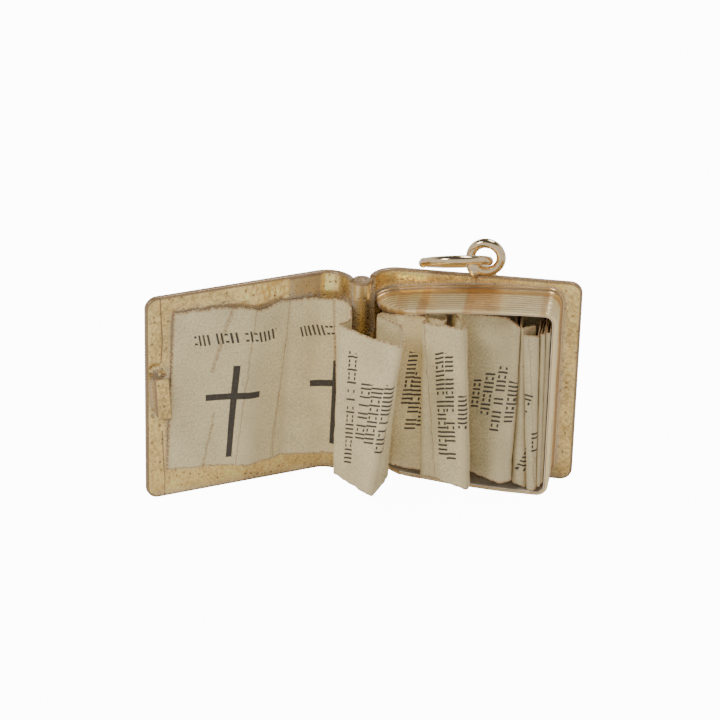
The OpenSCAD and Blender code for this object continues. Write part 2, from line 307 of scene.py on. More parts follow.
# Height that the top edge of the strip on the front cover gains over a straight cut, by
# distance along the strip
COVER_TOP_ALONG = [0.0, 4.0, 4.8, 5.3, 5.7, 6.1, 6.4, 6.7, 7.1, 7.6, 8.2, 13.5]
COVER_TOP_RISE = [0.20, 0.24, 0.12, 0.0, -0.12, -0.28, -0.34, -0.30, -0.18, -0.08, 0.0, 0.0]

# Camera: turn, height and roll, the point that it looks at in book millimetres, its distance
# and its lens
CAMERA_TURN = radians(7.62)
CAMERA_HEIGHT = radians(26.0)
CAMERA_ROLL = radians(1.5)
LOOK_AT = (0.012, 0, 9.459)
CAMERA_DISTANCE = 222.863
LENS = 153.17

# Light of the studio: backdrop as the camera sees it, walls and ceiling as they light the
# part, and two soft panels. Columns: name, place, width, height, watts.
BACKDROP = 12.0
WALL_LIGHT = 1.05
CEILING_LIGHT = 0.12
PANELS = [
    ("key", (-0.20, -0.20, 0.30), 0.12, 0.12, 0.63),
    ("top", (0.10, 0.12, 0.36), 0.16, 0.10, 0.64),
]


def linear(hex_colour):
    """Linear red, green and blue of an sRGB hex colour."""
    parts = [int(hex_colour[i:i + 2], 16) / 255 for i in (1, 3, 5)]
    return tuple(c / 12.92 if c <= 0.04045 else ((c + 0.055) / 1.055) ** 2.4 for c in parts)


def size(name, description, default, low, high):
    """A length in millimetres that the panel shows."""
    return FloatProperty(name=name, description=description, default=default, min=low, max=high)


def colour(name, description, default):
    """A colour that the panel shows, from its sRGB hex value."""
    return FloatVectorProperty(name=name, description=description, subtype="COLOR",
                               default=linear(default), min=0, max=1)


class CharmSizes(bpy.types.PropertyGroup):
    """Sizes in millimetres that shape the looks and keep the part's own dimensions."""

    edge_r: size("Cover edge", "Radius of the worn cover edges, mm", 0.13, 0.02, 0.2)
    waviness: size("Waviness", "Height of the gentle waves in the covers, mm", 0.03, 0, 0.08)
    rib_depth: size("Page line depth", "Depth of the engraved page lines, mm", 0.035, 0.02, 0.12)
    paper_t: size("Paper thickness", "Thickness of the folded paper, mm", 0.11, 0.06, 0.16)
    crumple: size("Crumple", "Height of the creases in the paper, mm", 0.05, 0, 0.12)


class CharmColours(bpy.types.PropertyGroup):
    """Colours of the metals, the paper and the ink."""

    gold: colour("Gold", "Stamped 9 ct gold of the covers", "#EFCE84")
    # Warm gold is also the colour of the painted reflections on the page frame
    warm_gold: colour("Warm gold", "Gold where tarnish has warmed it", "#D9A868")
    page_gold: colour("Page gold", "Pale gold of the engraved pages of the frame", "#FBE3AA")
    # Tarnish colour, also used for painted shade: the dark reflection along the rims and the contact
    # shadow round the catch's tongue
    tarnish_and_painted_shade: colour("Tarnish", "Brown tarnish along worn edges and in pits", "#8A6A4C")
    # Residue colour, also painted fill light: it lifts the shade in the hollows
    dust_and_fill_light: colour("Dust", "Pale brown polish residue in the hollows", "#DCCFBA")
    # Painted fill light: the pale colour of the gold inside the page frame
    inside_gold_and_fill_light: colour("Inside gold", "Matt gold inside the page frame", "#F4E6CC")
    ring_gold: colour("Ring gold", "Polished gold of the two rings", "#E8CFA4")
    paper: colour("Paper", "Book paper", "#ECDAA9")
    stain: colour("Stain", "Brown stains along edges and creases of the paper", "#B08A5E")
    ink: colour("Ink", "Printing ink", "#3A3531")


def to_row(points):
    """Book millimetres to metres in the part's own frame."""
    return np.asarray(points, float) * MM + [HINGE[0], HINGE[1], 0]


def to_front(points):
    """Points measured along the front cover, turned to book directions."""
    x, y, z = np.moveaxis(np.asarray(points, float), -1, 0)
    c, s = cos(REST_TURN), sin(REST_TURN)
    return np.stack([-x * c - y * s, -x * s + y * c, z], -1)


def ripple(a, b, length, seed, waves=9):
    """Smooth unevenness between about -1 and 1 over two coordinates, one bump per length."""
    random = np.random.default_rng(seed)
    total = np.zeros(np.broadcast(a, b).shape)
    for turn, phase, scale in random.uniform((0, 0, 0.6), (2 * pi, 2 * pi, 1.6), (waves, 3)):
        k = 2 * pi / (length * scale)
        total += np.sin((a * cos(turn) + b * sin(turn)) * k + phase)
    return total / sqrt(waves)


def smooth_step(low, high, value):
    """0 below low, 1 above high and a soft change between them."""
    t = np.clip((value - low) / (high - low), 0, 1)
    return t * t * (3 - 2 * t)


def between(rise, fall, value):
    """1 between two soft changes, up over one pair of values and down over the other."""
    return smooth_step(*rise, value) * smooth_step(*fall, value)


def bell(value, middle, width):
    """1 at the middle and a soft fall to 0 on both sides."""
    return np.exp(-((value - middle) / width) ** 2)


def graded(start, stop, step, fine=()):
    """Values from start to stop a step apart, with a few fine ones added."""
    count = max(2, round(abs(stop - start) / step) + 1)
    return merged(np.linspace(start, stop, count), fine)


def merged(*parts):
    """The values of several lists in order, each once."""
    return np.unique(np.round(np.concatenate(parts), 6))


def quads(index):
    """Faces between the neighbours of a grid of point numbers."""
    corners = index[:-1, :-1], index[1:, :-1], index[1:, 1:], index[:-1, 1:]
    return np.stack(corners, -1).reshape(-1, 4).tolist()


def closed_sheet(outer, inner):
    """Points and faces of the solid between two grids of the same shape."""
    n, m = outer.shape[:2]
    points = np.concatenate([outer.reshape(-1, 3), inner.reshape(-1, 3)])
    front = np.arange(n * m).reshape(n, m)
    back = front + n * m
    rims = [(front[:, 0], back[:, 0]), (back[:, -1], front[:, -1]),
            (back[0], front[0]), (front[-1], back[-1])]
    faces = quads(front[::-1]) + quads(back)
    for a, b in rims:
        faces += quads(np.stack([a, b], 1))
    return points, faces


def tube(rings, closed=False):
    """Points and faces of a tube through rings of points, with flat ends or closed on itself."""
    n, m = rings.shape[:2]
    index = np.arange(n * m).reshape(n, m)
    index = np.concatenate([index, index[:, :1]], 1)
    if closed:
        index = np.concatenate([index, index[:1]], 0)
    faces = quads(index)
    if not closed:
        faces += [index[0, :-1][::-1].tolist(), index[-1, :-1].tolist()]
    return rings.reshape(-1, 3), faces


def lathe(profile, steps=64, closed=False):
    """A shape turned round the hinge axis, from a list of radius and height."""
    turn = np.linspace(0, 2 * pi, steps, endpoint=False)
    r, z = np.asarray(profile, float).T
    rings = np.stack([np.outer(r, np.cos(turn)), np.outer(r, np.sin(turn)),
                      np.repeat(z[:, None], steps, 1)], -1)
    return tube(rings, closed)


def loft(sections, steps=28):
    """A solid through level ellipses: columns are x, y, z, half width in x and in y."""
    turn = np.linspace(0, 2 * pi, steps, endpoint=False)
    rings = np.array([[(x + a * cos(t), y + b * sin(t), z) for t in turn]
                      for x, y, z, a, b in sections])
    return tube(rings)


def mesh_object(name, points, faces):
    """A mesh object with its faces turned outwards."""
    mesh = bpy.data.meshes.new(name)
    mesh.from_pydata(np.asarray(points).tolist(), [], faces)
    work = bmesh.new()
    work.from_mesh(mesh)
    bmesh.ops.recalc_face_normals(work, faces=work.faces)
    work.to_mesh(mesh)
    work.free()
    made = bpy.data.objects.new(name, mesh)
    bpy.context.scene.collection.objects.link(made)
    return made


def cut_and_join(base, tools):
    """Joins or cuts meshes on the base. Tools are pairs of a Boolean operation and a solid."""
    others = []
    for operation, (points, faces) in tools:
        other = mesh_object(base.name + "_tool", points, faces)
        step = base.modifiers.new(operation, "BOOLEAN")
        step.operation = operation
        step.solver = "MANIFOLD"
        step.object = other
        others.append(other)
    depsgraph = bpy.context.evaluated_depsgraph_get()
    mesh = bpy.data.meshes.new_from_object(base.evaluated_get(depsgraph))
    base.modifiers.clear()
    base.data = mesh
    for other in others:
        bpy.data.objects.remove(other)


def coordinates(made):
    """The points of a mesh object as an array."""
    flat = np.zeros(len(made.data.vertices) * 3, np.float32)
    made.data.vertices.foreach_get("co", flat)
    return flat.reshape(-1, 3).astype(float)


def keep_values(made, name, values):
    """Stores three values for every point of a mesh, for the material to read."""
    attribute = made.data.attributes.new(name, "FLOAT_VECTOR", "POINT")
    attribute.data.foreach_set("vector", np.asarray(values, np.float32).ravel())


def finish_piece(made, points, *materials, sharp=35):
    """Puts the points in the part's frame, shades the mesh and gives it its materials."""
    made.data.vertices.foreach_set("co", np.asarray(points, np.float32).ravel())
    made.data.update()
    made.data.shade_smooth()
    made.data.set_sharp_from_angle(angle=radians(sharp))
    made.data.materials.clear()
    for material in materials:
        made.data.materials.append(material)


def worn_half(gap, half, edge_r):
    """Half thickness at a distance from the edge, with the edge worn round."""
    near = edge_r - np.clip(gap, 0, edge_r)
    return half - edge_r + np.sqrt(np.maximum(edge_r ** 2 - near ** 2, 0))


def add(tree, kind, *inputs, **settings):
    """Adds a shader node, sets its properties and fills or links its inputs.

    The inputs follow the order of the sockets, or are one dictionary by a socket's name or
    number. Each is a value, a socket, or a node that stands for its first output in use.
    """
    made = tree.nodes.new(kind if kind.startswith("Node") else "ShaderNode" + kind)
    for name, value in settings.items():
        setattr(made, name, value)
    named = inputs[0] if inputs and isinstance(inputs[0], dict) else dict(enumerate(inputs))
    for key, value in named.items():
        if isinstance(value, bpy.types.Node):
            value = next(socket for socket in value.outputs if socket.enabled)
        if isinstance(value, bpy.types.NodeSocket):
            tree.links.new(value, made.inputs[key])
        else:
            made.inputs[key].default_value = value
    return made


def new_material(name):
    """An empty material and its node tree."""
    material = bpy.data.materials.new(name)
    material.use_nodes = True
    material.node_tree.nodes.clear()
    return material, material.node_tree


def rgba(colour_value):
    """A colour with full alpha."""
    return (*colour_value[:3], 1.0)


# 9 ct gold sheet, stamped in a die and then worn in a pocket. The eye sees a pale yellow
# metal with a fine grain and scattered pits, brown along its edges that is tarnish and also the
# painted dark reflection of the rounded edges, and a pale matt residue in its corners that also
# paints fill light into their shade. Painted highlights and lighter stretches lie in its tone.
# A thin soft coat gives the broad highlights of handled gold. The grain is drawn coarser than
# the real one, to show.
def stamped_gold():
    """Material of the covers."""
    tints = bpy.context.scene.charm_colours
    material, tree = new_material("pitted stamped 9 ct gold")
    grain_mm, pit_mm, blotch_mm, hollow_mm = 0.22, 0.46, 1.3, 0.8
    place = add(tree, "TexCoord").outputs["Object"]
    # The wear attribute also carries painted light: highlights and lighter stretches in its tone, painted
    # shade in its tarnish
    wear_and_painted_light = add(tree, "Attribute", attribute_name="wear_and_painted_light").outputs["Vector"]
    tarnish_and_painted_shade, tone_and_painted_light, polish = add(tree, "SeparateXYZ", wear_and_painted_light).outputs
    grain = add(tree, "TexNoise", {"Vector": place, "Scale": 1 / (grain_mm * MM), "Detail": 3.0})
    blotches = add(tree, "TexNoise", {"Vector": place, "Scale": 1 / (blotch_mm * MM), "Detail": 4.0})
    shifted = add(tree, "VectorMath", grain.outputs["Color"], (0.2 * MM,) * 3, place,
                  operation="MULTIPLY_ADD")
    cells = add(tree, "TexVoronoi", {"Vector": shifted, "Scale": 1 / (pit_mm * MM)})
    chance = add(tree, "SeparateColor", cells.outputs["Color"])
    chosen = add(tree, "Math", chance, 0.45, operation="GREATER_THAN")
    round_pit = add(tree, "MapRange", cells, 0.12, 0.26, 1.0, 0.0)
    pit = add(tree, "Math", chosen, round_pit, operation="MULTIPLY")
    warm = add(tree, "MapRange", blotches, 0.40, 0.70, 0.0, 0.3)
    metal = add(tree, "Mix", {"Factor": warm, 6: rgba(tints.gold), 7: rgba(tints.warm_gold)},
                data_type="RGBA")
    grey = add(tree, "MapRange", grain, 0.3, 0.7, 0.64, 1.24)
    shade = add(tree, "Math", tone_and_painted_light, 0.30, grey, operation="MULTIPLY_ADD")
    toned = add(tree, "Mix", {"Factor": 1.0, 6: metal, 7: shade}, data_type="RGBA", blend_type="MULTIPLY")
    pit_share = add(tree, "Math", pit, 0.65, operation="MULTIPLY")
    pitted = add(tree, "Mix", {"Factor": pit_share, 6: toned, 7: rgba(tints.tarnish_and_painted_shade)}, data_type="RGBA")
    uneven = add(tree, "Math", grain, 0.7, tarnish_and_painted_shade, operation="MULTIPLY_ADD")
    brown = add(tree, "MapRange", uneven, 0.60, 1.10, 0.0, 0.85, interpolation_type="SMOOTHSTEP")
    dirty_and_painted_light = add(tree, "Mix", {"Factor": brown, 6: pitted, 7: rgba(tints.tarnish_and_painted_shade)}, data_type="RGBA")
    bright = add(tree, "Math", 1.0, brown, operation="SUBTRACT")
    # Pale matt residue in the hollows, found by occlusion: dust, and painted fill light that lightens
    # their shade
    hollow = add(tree, "AmbientOcclusion", {"Distance": hollow_mm * MM}, samples=8).outputs["AO"]
    deep = add(tree, "MapRange", hollow, 0.40, 0.92, 0.95, 0.0)
    film = add(tree, "Math", polish, -0.9, deep, operation="MULTIPLY_ADD", use_clamp=True)
    dust_and_fill_share = add(tree, "Math", film, bright, operation="MULTIPLY")
    dusted_and_lit = add(tree, "Mix", {"Factor": dust_and_fill_share, 6: dirty_and_painted_light, 7: rgba(tints.dust_and_fill_light)}, data_type="RGBA")
    matt = add(tree, "Math", brown, dust_and_fill_share, operation="MAXIMUM")
    worn = add(tree, "MapRange", grain, 0.3, 0.7, 0.36, 0.20)
    sunk = add(tree, "Bump", {"Height": pit, "Strength": 0.9, "Distance": 0.035 * MM}, invert=True)
    shader = add(tree, "BsdfPrincipled", {
        "Base Color": dusted_and_lit,
        "Metallic": add(tree, "MapRange", matt, 0.0, 1.0, 0.92, 0.15),
        "Roughness": add(tree, "Math", polish, -0.14, worn, operation="MULTIPLY_ADD"),
        "Normal": add(tree, "Bump", {"Height": grain, "Strength": 0.35, "Distance": 0.02 * MM,
                                     "Normal": sunk}),
        "Coat Weight": 0.35,
        "Coat Roughness": 0.35,
    })
    add(tree, "OutputMaterial", {"Surface": shader})
    return material


# 9 ct gold strip, rolled, then engraved with a graver. Smooth and bright, orange where the
# cove has tarnished and in patches of painted reflection, pale on the pages, with a matt
# residue in its corners that also paints fill light into their shade, and fine brown lines that
# waver and fade as hand-cut ones do.
def rolled_gold():
    """Material of the page frame and the hinge pin."""
    tints = bpy.context.scene.charm_colours
    material, tree = new_material("rolled and engraved 9 ct gold")
    patch_mm, mark_mm, waver_mm, hollow_mm = 2.6, 0.2, 1.1, 0.6
    pages_at = BEAD + COVE
    place = add(tree, "TexCoord").outputs["Object"]
    at = add(tree, "Attribute", attribute_name="frame_mm").outputs["Vector"]
    round_the_frame, from_back, depth = add(tree, "SeparateXYZ", at).outputs
    patches, waver = (
        add(tree, "TexNoise", {"W": round_the_frame, "Scale": 1 / length_mm, "Detail": detail},
            noise_dimensions="1D")
        for length_mm, detail in ((patch_mm, 3.0), (waver_mm, 2.0)))
    marks = add(tree, "TexNoise", {"Vector": place, "Scale": 1 / (mark_mm * MM), "Detail": 3.0})
    line_at = add(tree, "Math", from_back, 1 / PAGE_PITCH, -pages_at / PAGE_PITCH,
                  operation="MULTIPLY_ADD")
    line_on = add(tree, "Math", waver, 0.16, line_at, operation="MULTIPLY_ADD")
    line_off = add(tree, "Math", line_on, 0.5, operation="PINGPONG")
    lined = add(tree, "MapRange", line_off, 0.05, 0.14, 1.0, 0.0, interpolation_type="SMOOTHSTEP")
    pages = add(tree, "MapRange", from_back, pages_at - 0.1, pages_at + 0.05, 0.0, 1.0)
    rim = add(tree, "MapRange", depth, FRAME_DEPTH - 0.22, FRAME_DEPTH - 0.12, 1.0, 0.0)
    fade = add(tree, "MapRange", patches, 0.35, 0.6, 0.45, 1.0)
    for part in (pages, rim, fade):
        lined = add(tree, "Math", lined, part, operation="MULTIPLY")
    bead_back = add(tree, "MapRange", from_back, 0.04, 0.14, 0.8, 0.0)
    seams = [add(tree, "Math", from_back, seam, 0.04, operation="COMPARE") for seam in (BEAD, pages_at)]
    for dark in (bead_back, *seams):
        lined = add(tree, "Math", lined, dark, operation="MAXIMUM")
    brown = add(tree, "Math", lined, 0.75, operation="MULTIPLY")
    warmth = add(tree, "MapRange", pages, 0.0, 1.0, 0.58, 0.0)
    # Painted reflection: warm patches that stand for reflections seen in the frame
    painted_reflection = add(tree, "Attribute", attribute_name="frame_painted_reflection").outputs["Fac"]
    painted_reflection_share = add(tree, "MapRange", pages, 0.0, 1.0, 0.3, 0.75)
    warm = add(tree, "Math", painted_reflection, painted_reflection_share, warmth, operation="MULTIPLY_ADD", use_clamp=True)
    tone_and_painted_light = add(tree, "Mix", {"Factor": warm, 6: rgba(tints.page_gold), 7: rgba(tints.warm_gold)},
               data_type="RGBA")
    dirty_and_painted_light = add(tree, "Mix", {"Factor": brown, 6: tone_and_painted_light, 7: rgba(tints.tarnish_and_painted_shade)}, data_type="RGBA")
    # Pale matt residue in the hollows, found by occlusion: dust, and painted fill light that lightens
    # their shade
    hollow = add(tree, "AmbientOcclusion", {"Distance": hollow_mm * MM}, samples=8).outputs["AO"]
    dust_and_fill_share = add(tree, "MapRange", hollow, 0.15, 0.72, 0.85, 0.0)
    matt = add(tree, "Math", brown, dust_and_fill_share, operation="MAXIMUM")
    shader = add(tree, "BsdfPrincipled", {
        "Base Color": add(tree, "Mix", {"Factor": dust_and_fill_share, 6: dirty_and_painted_light, 7: rgba(tints.dust_and_fill_light)},
                          data_type="RGBA"),
        "Metallic": add(tree, "MapRange", matt, 0.0, 1.0, 0.92, 0.30),
        "Roughness": add(tree, "MapRange", marks, 0.0, 1.0, 0.40, 0.26),
        "Normal": add(tree, "Bump", {"Height": marks, "Strength": 0.08, "Distance": 0.01 * MM}),
        "Coat Weight": 0.35,
        "Coat Roughness": 0.35,
    })
    add(tree, "OutputMaterial", {"Surface": shader})
    return material


# The same gold inside the page frame, drawn matt and pale: a lighter copy of the gold that
# paints the soft fill light inside the frame, and scatters the light that comes in.
def pale_fill_lit_gold():
    """Material inside the page frame."""
    tints = bpy.context.scene.charm_colours
    material, tree = new_material("matt pale 9 ct gold painted as fill light")
    cloud_mm = 1.2
    place = add(tree, "TexCoord").outputs["Object"]
    clouds = add(tree, "TexNoise", {"Vector": place, "Scale": 1 / (cloud_mm * MM), "Detail": 4.0})
    share = add(tree, "MapRange", clouds, 0.4, 0.7, 0.0, 0.3)
    tone_and_painted_light = add(tree, "Mix", {"Factor": share, 6: rgba(tints.inside_gold_and_fill_light), 7: rgba(tints.tarnish_and_painted_shade)},
               data_type="RGBA")
    shader = add(tree, "BsdfPrincipled", {"Base Color": tone_and_painted_light, "Metallic": 0.15, "Roughness": 0.6})
    add(tree, "OutputMaterial", {"Surface": shader})
    return material


# Drawn 9 ct gold wire, polished on a mop. Almost a mirror, with hairline scratches and a
# slightly warmer film in places.
def polished_gold():
    """Material of the jump ring and the soldered ring."""
    tints = bpy.context.scene.charm_colours
    material, tree = new_material("polished 9 ct gold wire")
    scratch_mm = 0.3
    place = add(tree, "TexCoord").outputs["Object"]
    scratches = add(tree, "TexNoise", {"Vector": place, "Scale": 1 / (scratch_mm * MM), "Detail": 4.0})
    film = add(tree, "MapRange", scratches, 0.45, 0.75, 0.0, 0.15)
    shader = add(tree, "BsdfPrincipled", {
        "Base Color": add(tree, "Mix", {"Factor": film, 6: rgba(tints.ring_gold),
                                        7: rgba(tints.warm_gold)}, data_type="RGBA"),
        "Metallic": 1.0,
        "Roughness": add(tree, "MapRange", scratches, 0.0, 1.0, 0.06, 0.22),
        "Normal": add(tree, "Bump", {"Height": scratches, "Strength": 0.15, "Distance": 0.02 * MM}),
    })
    add(tree, "OutputMaterial", {"Surface": shader})
    return material


# Lines of small print, set as plain strokes: about two to each letter of a 2 pt face. Tall
# strokes, pairs of short ones and gaps follow one another by chance.
def printed_row():
    """Node group that gives the ink of one row of strokes, or of one solid bar."""
    group = bpy.data.node_groups.new("row of printed strokes", "ShaderNodeTree")
    for name, kind in (("Place", "Vector"), ("Start", "Vector"), ("End", "Vector"),
                       ("Height", "Float"), ("Solid", "Float")):
        group.interface.new_socket(name, in_out="INPUT", socket_type="NodeSocket" + kind)
    group.interface.new_socket("Ink", in_out="OUTPUT", socket_type="NodeSocketFloat")
    pitch_mm, stroke_mm, short_mm, lean, soft_mm = 0.34, 0.12, 0.22, 0.25, 0.03
    short_at, gap_share, short_share, row_shift = 0.62, 0.10, 0.35, 7.3
    place, start, end, height, solid = add(group, "NodeGroupInput").outputs[:5]
    run = add(group, "VectorMath", end, start, operation="SUBTRACT")
    length = add(group, "VectorMath", run, operation="LENGTH")
    ahead = add(group, "VectorMath", run, operation="NORMALIZE")
    aside = add(group, "VectorMath", (0, 0, 1), ahead, operation="CROSS_PRODUCT")
    from_start = add(group, "VectorMath", place, start, operation="SUBTRACT")
    t, w = (add(group, "VectorMath", from_start, way, operation="DOT_PRODUCT") for way in (ahead, aside))
    off = add(group, "Math", w, operation="ABSOLUTE")
    left = add(group, "Math", length, t, operation="SUBTRACT")
    half = add(group, "Math", height, 0.5, operation="MULTIPLY")
    spare = add(group, "Math", half, off, operation="SUBTRACT")
    inside = add(group, "Math", t, left, operation="MINIMUM")
    inside = add(group, "Math", inside, spare, operation="MINIMUM")
    bar = add(group, "MapRange", inside, 0.0, soft_mm, 0.0, 1.0)
    slant = add(group, "Math", w, lean, t, operation="MULTIPLY_ADD")
    cell = add(group, "Math", slant, 1 / pitch_mm, operation="MULTIPLY")
    number = add(group, "Math", cell, operation="FLOOR")
    number = add(group, "Math", length, row_shift, number, operation="MULTIPLY_ADD")
    chance = add(group, "TexWhiteNoise", {"W": number}, noise_dimensions="1D")
    middle = add(group, "Math", cell, operation="FRACT")
    middle = add(group, "Math", middle, 0.5, operation="SUBTRACT")
    middle = add(group, "Math", middle, operation="ABSOLUTE")
    middle = add(group, "Math", middle, pitch_mm, operation="MULTIPLY")
    level = add(group, "Math", half, -short_at, off, operation="MULTIPLY_ADD")
    level = add(group, "Math", level, operation="ABSOLUTE")
    tall, thin, short = (
        add(group, "MapRange", value, width / 2, width / 2 + soft_mm, 1.0, 0.0)
        for value, width in ((middle, stroke_mm), (level, stroke_mm), (middle, short_mm)))
    pair = add(group, "Math", thin, short, operation="MULTIPLY")
    is_tall, is_mark = (add(group, "Math", chance, share, operation="GREATER_THAN")
                        for share in (short_share, gap_share))
    stroke = add(group, "Mix", {"Factor": is_tall, "A": pair, "B": tall})
    stroke = add(group, "Math", stroke, is_mark, operation="MULTIPLY")
    stroke = add(group, "Math", stroke, solid, operation="MAXIMUM")
    add(group, "NodeGroupOutput", {"Ink": add(group, "Math", stroke, bar, operation="MULTIPLY")})
    return group


# Thin book paper, wove, aged to a warm grey cream. Matt, with soft clouds, short fibres and
# brown specks, brown stains along its cut edges and folds, and thin dark print on one side.
# Painted shade darkens the paper deep in the page frame, and painted light lightens the paper at
# the frame's mouth and the fore-edge end of the strip on the front cover.
def book_paper(row_group, rows, creases):
    """Material of one folded strip of paper, with its own print and creases."""
    tints = bpy.context.scene.charm_colours
    material, tree = new_material("aged wove book paper")
    fibre_mm, cloud_mm, speck_mm = 0.17, 2.4, 0.62
    waves_per_mm, wave_mm, half_wave_mm = 1.2, 0.35, 0.17
    at = add(tree, "Attribute", attribute_name="paper_mm").outputs["Vector"]
    age_and_painted_light = add(tree, "Attribute", attribute_name="paper_wear_and_painted_light").outputs["Vector"]
    along, height, front = add(tree, "SeparateXYZ", at).outputs
    edge, fold, shadow = add(tree, "SeparateXYZ", age_and_painted_light).outputs
    flat = add(tree, "CombineXYZ", along, height)
    fibres = add(tree, "TexNoise", {"Vector": flat, "Scale": 1 / fibre_mm, "Detail": 4.0})
    clouds = add(tree, "TexNoise", {"Vector": flat, "Scale": 1 / cloud_mm, "Detail": 4.0})
    cells = add(tree, "TexVoronoi", {"Vector": flat, "Scale": 1 / speck_mm})
    chance = add(tree, "SeparateColor", cells.outputs["Color"])
    reach = add(tree, "MapRange", chance, 0.5, 1.0, 0.0, 0.10)
    near = add(tree, "Math", reach, cells, operation="SUBTRACT")
    speck = add(tree, "MapRange", near, 0.0, 0.03, 0.0, 0.65)
    light = add(tree, "MapRange", clouds, 0.3, 0.7, 0.90, 1.06)
    fibrous = add(tree, "MapRange", fibres, 0.3, 0.7, 0.78, 1.14)
    shaded = add(tree, "MapRange", shadow, -1.0, 1.0, 1.2, 0.80)
    for part in (fibrous, shaded):
        light = add(tree, "Math", light, part, operation="MULTIPLY")
    tone_and_painted_light = add(tree, "Mix", {"Factor": 1.0, 6: rgba(tints.paper), 7: light},
               data_type="RGBA", blend_type="MULTIPLY")
    waved = add(tree, "TexNoise", {"Vector": flat, "Scale": waves_per_mm, "Detail": 3.0})
    waved = add(tree, "VectorMath", waved.outputs["Color"], (wave_mm, 0, 0), flat,
                operation="MULTIPLY_ADD")
    ink, crease = 0.0, 0.0
    for a0, z0, a1, z1, row_height, solid in rows:
        row = add(tree, "Group", {"Place": flat, "Start": (a0, z0, 0), "End": (a1, z1, 0),
                                  "Height": row_height, "Solid": solid}, node_tree=row_group)
        ink = add(tree, "Math", ink, row, operation="MAXIMUM")
    for a0, z0, a1, z1, width in creases:
        start, end = (a0 + half_wave_mm, z0, 0), (a1 + half_wave_mm, z1, 0)
        line = add(tree, "Group", {"Place": waved, "Start": start, "End": end, "Height": width,
                                   "Solid": 1.0}, node_tree=row_group)
        crease = add(tree, "Math", crease, line, operation="MAXIMUM")
    patchy = add(tree, "MapRange", fibres, 0.40, 0.60, 0.1, 1.0)
    cut = add(tree, "MapRange", edge, 0.0, 0.18, 1.4, 0.0)
    old = add(tree, "Math", fold, 0.35, cut, operation="MULTIPLY_ADD")
    old = add(tree, "Math", crease, 0.75, old, operation="MULTIPLY_ADD")
    old = add(tree, "Math", old, patchy, operation="MULTIPLY")
    stain = add(tree, "Math", old, speck, operation="ADD", use_clamp=True)
    stained = add(tree, "Mix", {"Factor": stain, 6: tone_and_painted_light, 7: rgba(tints.stain)}, data_type="RGBA")
    printed = add(tree, "MapRange", fibres, 0.25, 0.5, 0.90, 0.97)
    inked = add(tree, "Math", ink, printed, operation="MULTIPLY")
    inked = add(tree, "Math", inked, front, operation="MULTIPLY", use_clamp=True)
    dented = add(tree, "Bump", {"Height": crease, "Strength": 0.6, "Distance": 0.05 * MM}, invert=True)
    shader = add(tree, "BsdfPrincipled", {
        "Base Color": add(tree, "Mix", {"Factor": inked, 6: stained, 7: rgba(tints.ink)},
                          data_type="RGBA"),
        "Roughness": 0.85,
        "Normal": add(tree, "Bump", {"Height": fibres, "Strength": 0.35, "Distance": 0.03 * MM,
                                     "Normal": dented}),
    })
    add(tree, "OutputMaterial", {"Surface": shader})
    return material


def bent_sheet(path, normal, low, high, share, half, relief_out=0, relief_in=0):
    """A solid sheet that follows a plan path, between two heights at each of its points."""
    z = low[:, None] + share[None, :] * (high - low)[:, None]
    out, inward = half + relief_out, half + relief_in
    outer = np.stack([path[:, 0, None] + normal[:, 0, None] * out,
                      path[:, 1, None] + normal[:, 1, None] * out, z], -1)
    inner = np.stack([path[:, 0, None] - normal[:, 0, None] * inward,
                      path[:, 1, None] - normal[:, 1, None] * inward, z], -1)
    return closed_sheet(outer, inner)


def cover_path(along):
    """Plan points and outward directions of a cover's middle line, from the fore edge."""
    turn = np.clip((along - LEAF) / SHOULDER_MID_R, 0, pi / 2)
    past = np.clip(along - LEAF - SHOULDER_MID_R * pi / 2, 0, None)
    x = COVER_REACH - np.minimum(along, LEAF) - SHOULDER_MID_R * np.sin(turn)
    y = SHOULDER_Y + SHOULDER_MID_R * np.cos(turn) - past
    return np.stack([x, y], 1), np.stack([-np.sin(turn), np.cos(turn)], 1)


def edge_gap(along, z):
    """Distance from the outline of a cover, by distance from the fore edge and height."""
    qx, qz = CORNER_R - along, np.abs(z - COVER_H / 2) - COVER_H / 2 + CORNER_R
    return CORNER_R - np.hypot(np.maximum(qx, 0), np.maximum(qz, 0)) - np.minimum(np.maximum(qx, qz), 0)


def cover_relief(along, z, seed):
    """Waves and soft pits of a stamped cover face."""
    waves = ripple(along, z, 4.5, seed) * bpy.context.scene.charm_sizes.waviness
    return waves + 0.006 * ripple(along, z, 0.7, seed + 1)


def scribed_lines(along, z):
    """Share of the upper and of the lower line scribed inside the front cover."""
    line = bell(along, np.interp(z, LINE_Z, LINE_ALONG), 0.05)
    return line * smooth_step(10.0, 10.2, z), line * smooth_step(5.6, 5.3, z)


def inside_marks(along, z):
    """Lines, dents beside the catch and crinkles in the front cover's inner face."""
    upper, lower = scribed_lines(along, z)
    dent = bell(((along - 0.65) / 0.46) ** 2 + ((z - 10.55) / 0.24) ** 2, 0, 1)
    bow = np.hypot((along - 0.95) / 0.36, (z - 10.12) / 0.34)
    arc = bell(bow, 1, 0.12) * smooth_step(10.0, 10.2, z)
    ring = bell(np.hypot((along - 0.78) / 0.16, (z - 11.47) / 0.26), 1, 0.3)
    creased = smooth_step(14.3, 14.7, z) * smooth_step(1.5, 2.2, along) * smooth_step(11.0, 10.4, along)
    crinkle = 0.022 * ripple(along, z, 0.4, 71) * creased
    return crinkle - 0.06 * upper - 0.035 * lower - 0.12 * dent + 0.05 * arc - 0.02 * ring


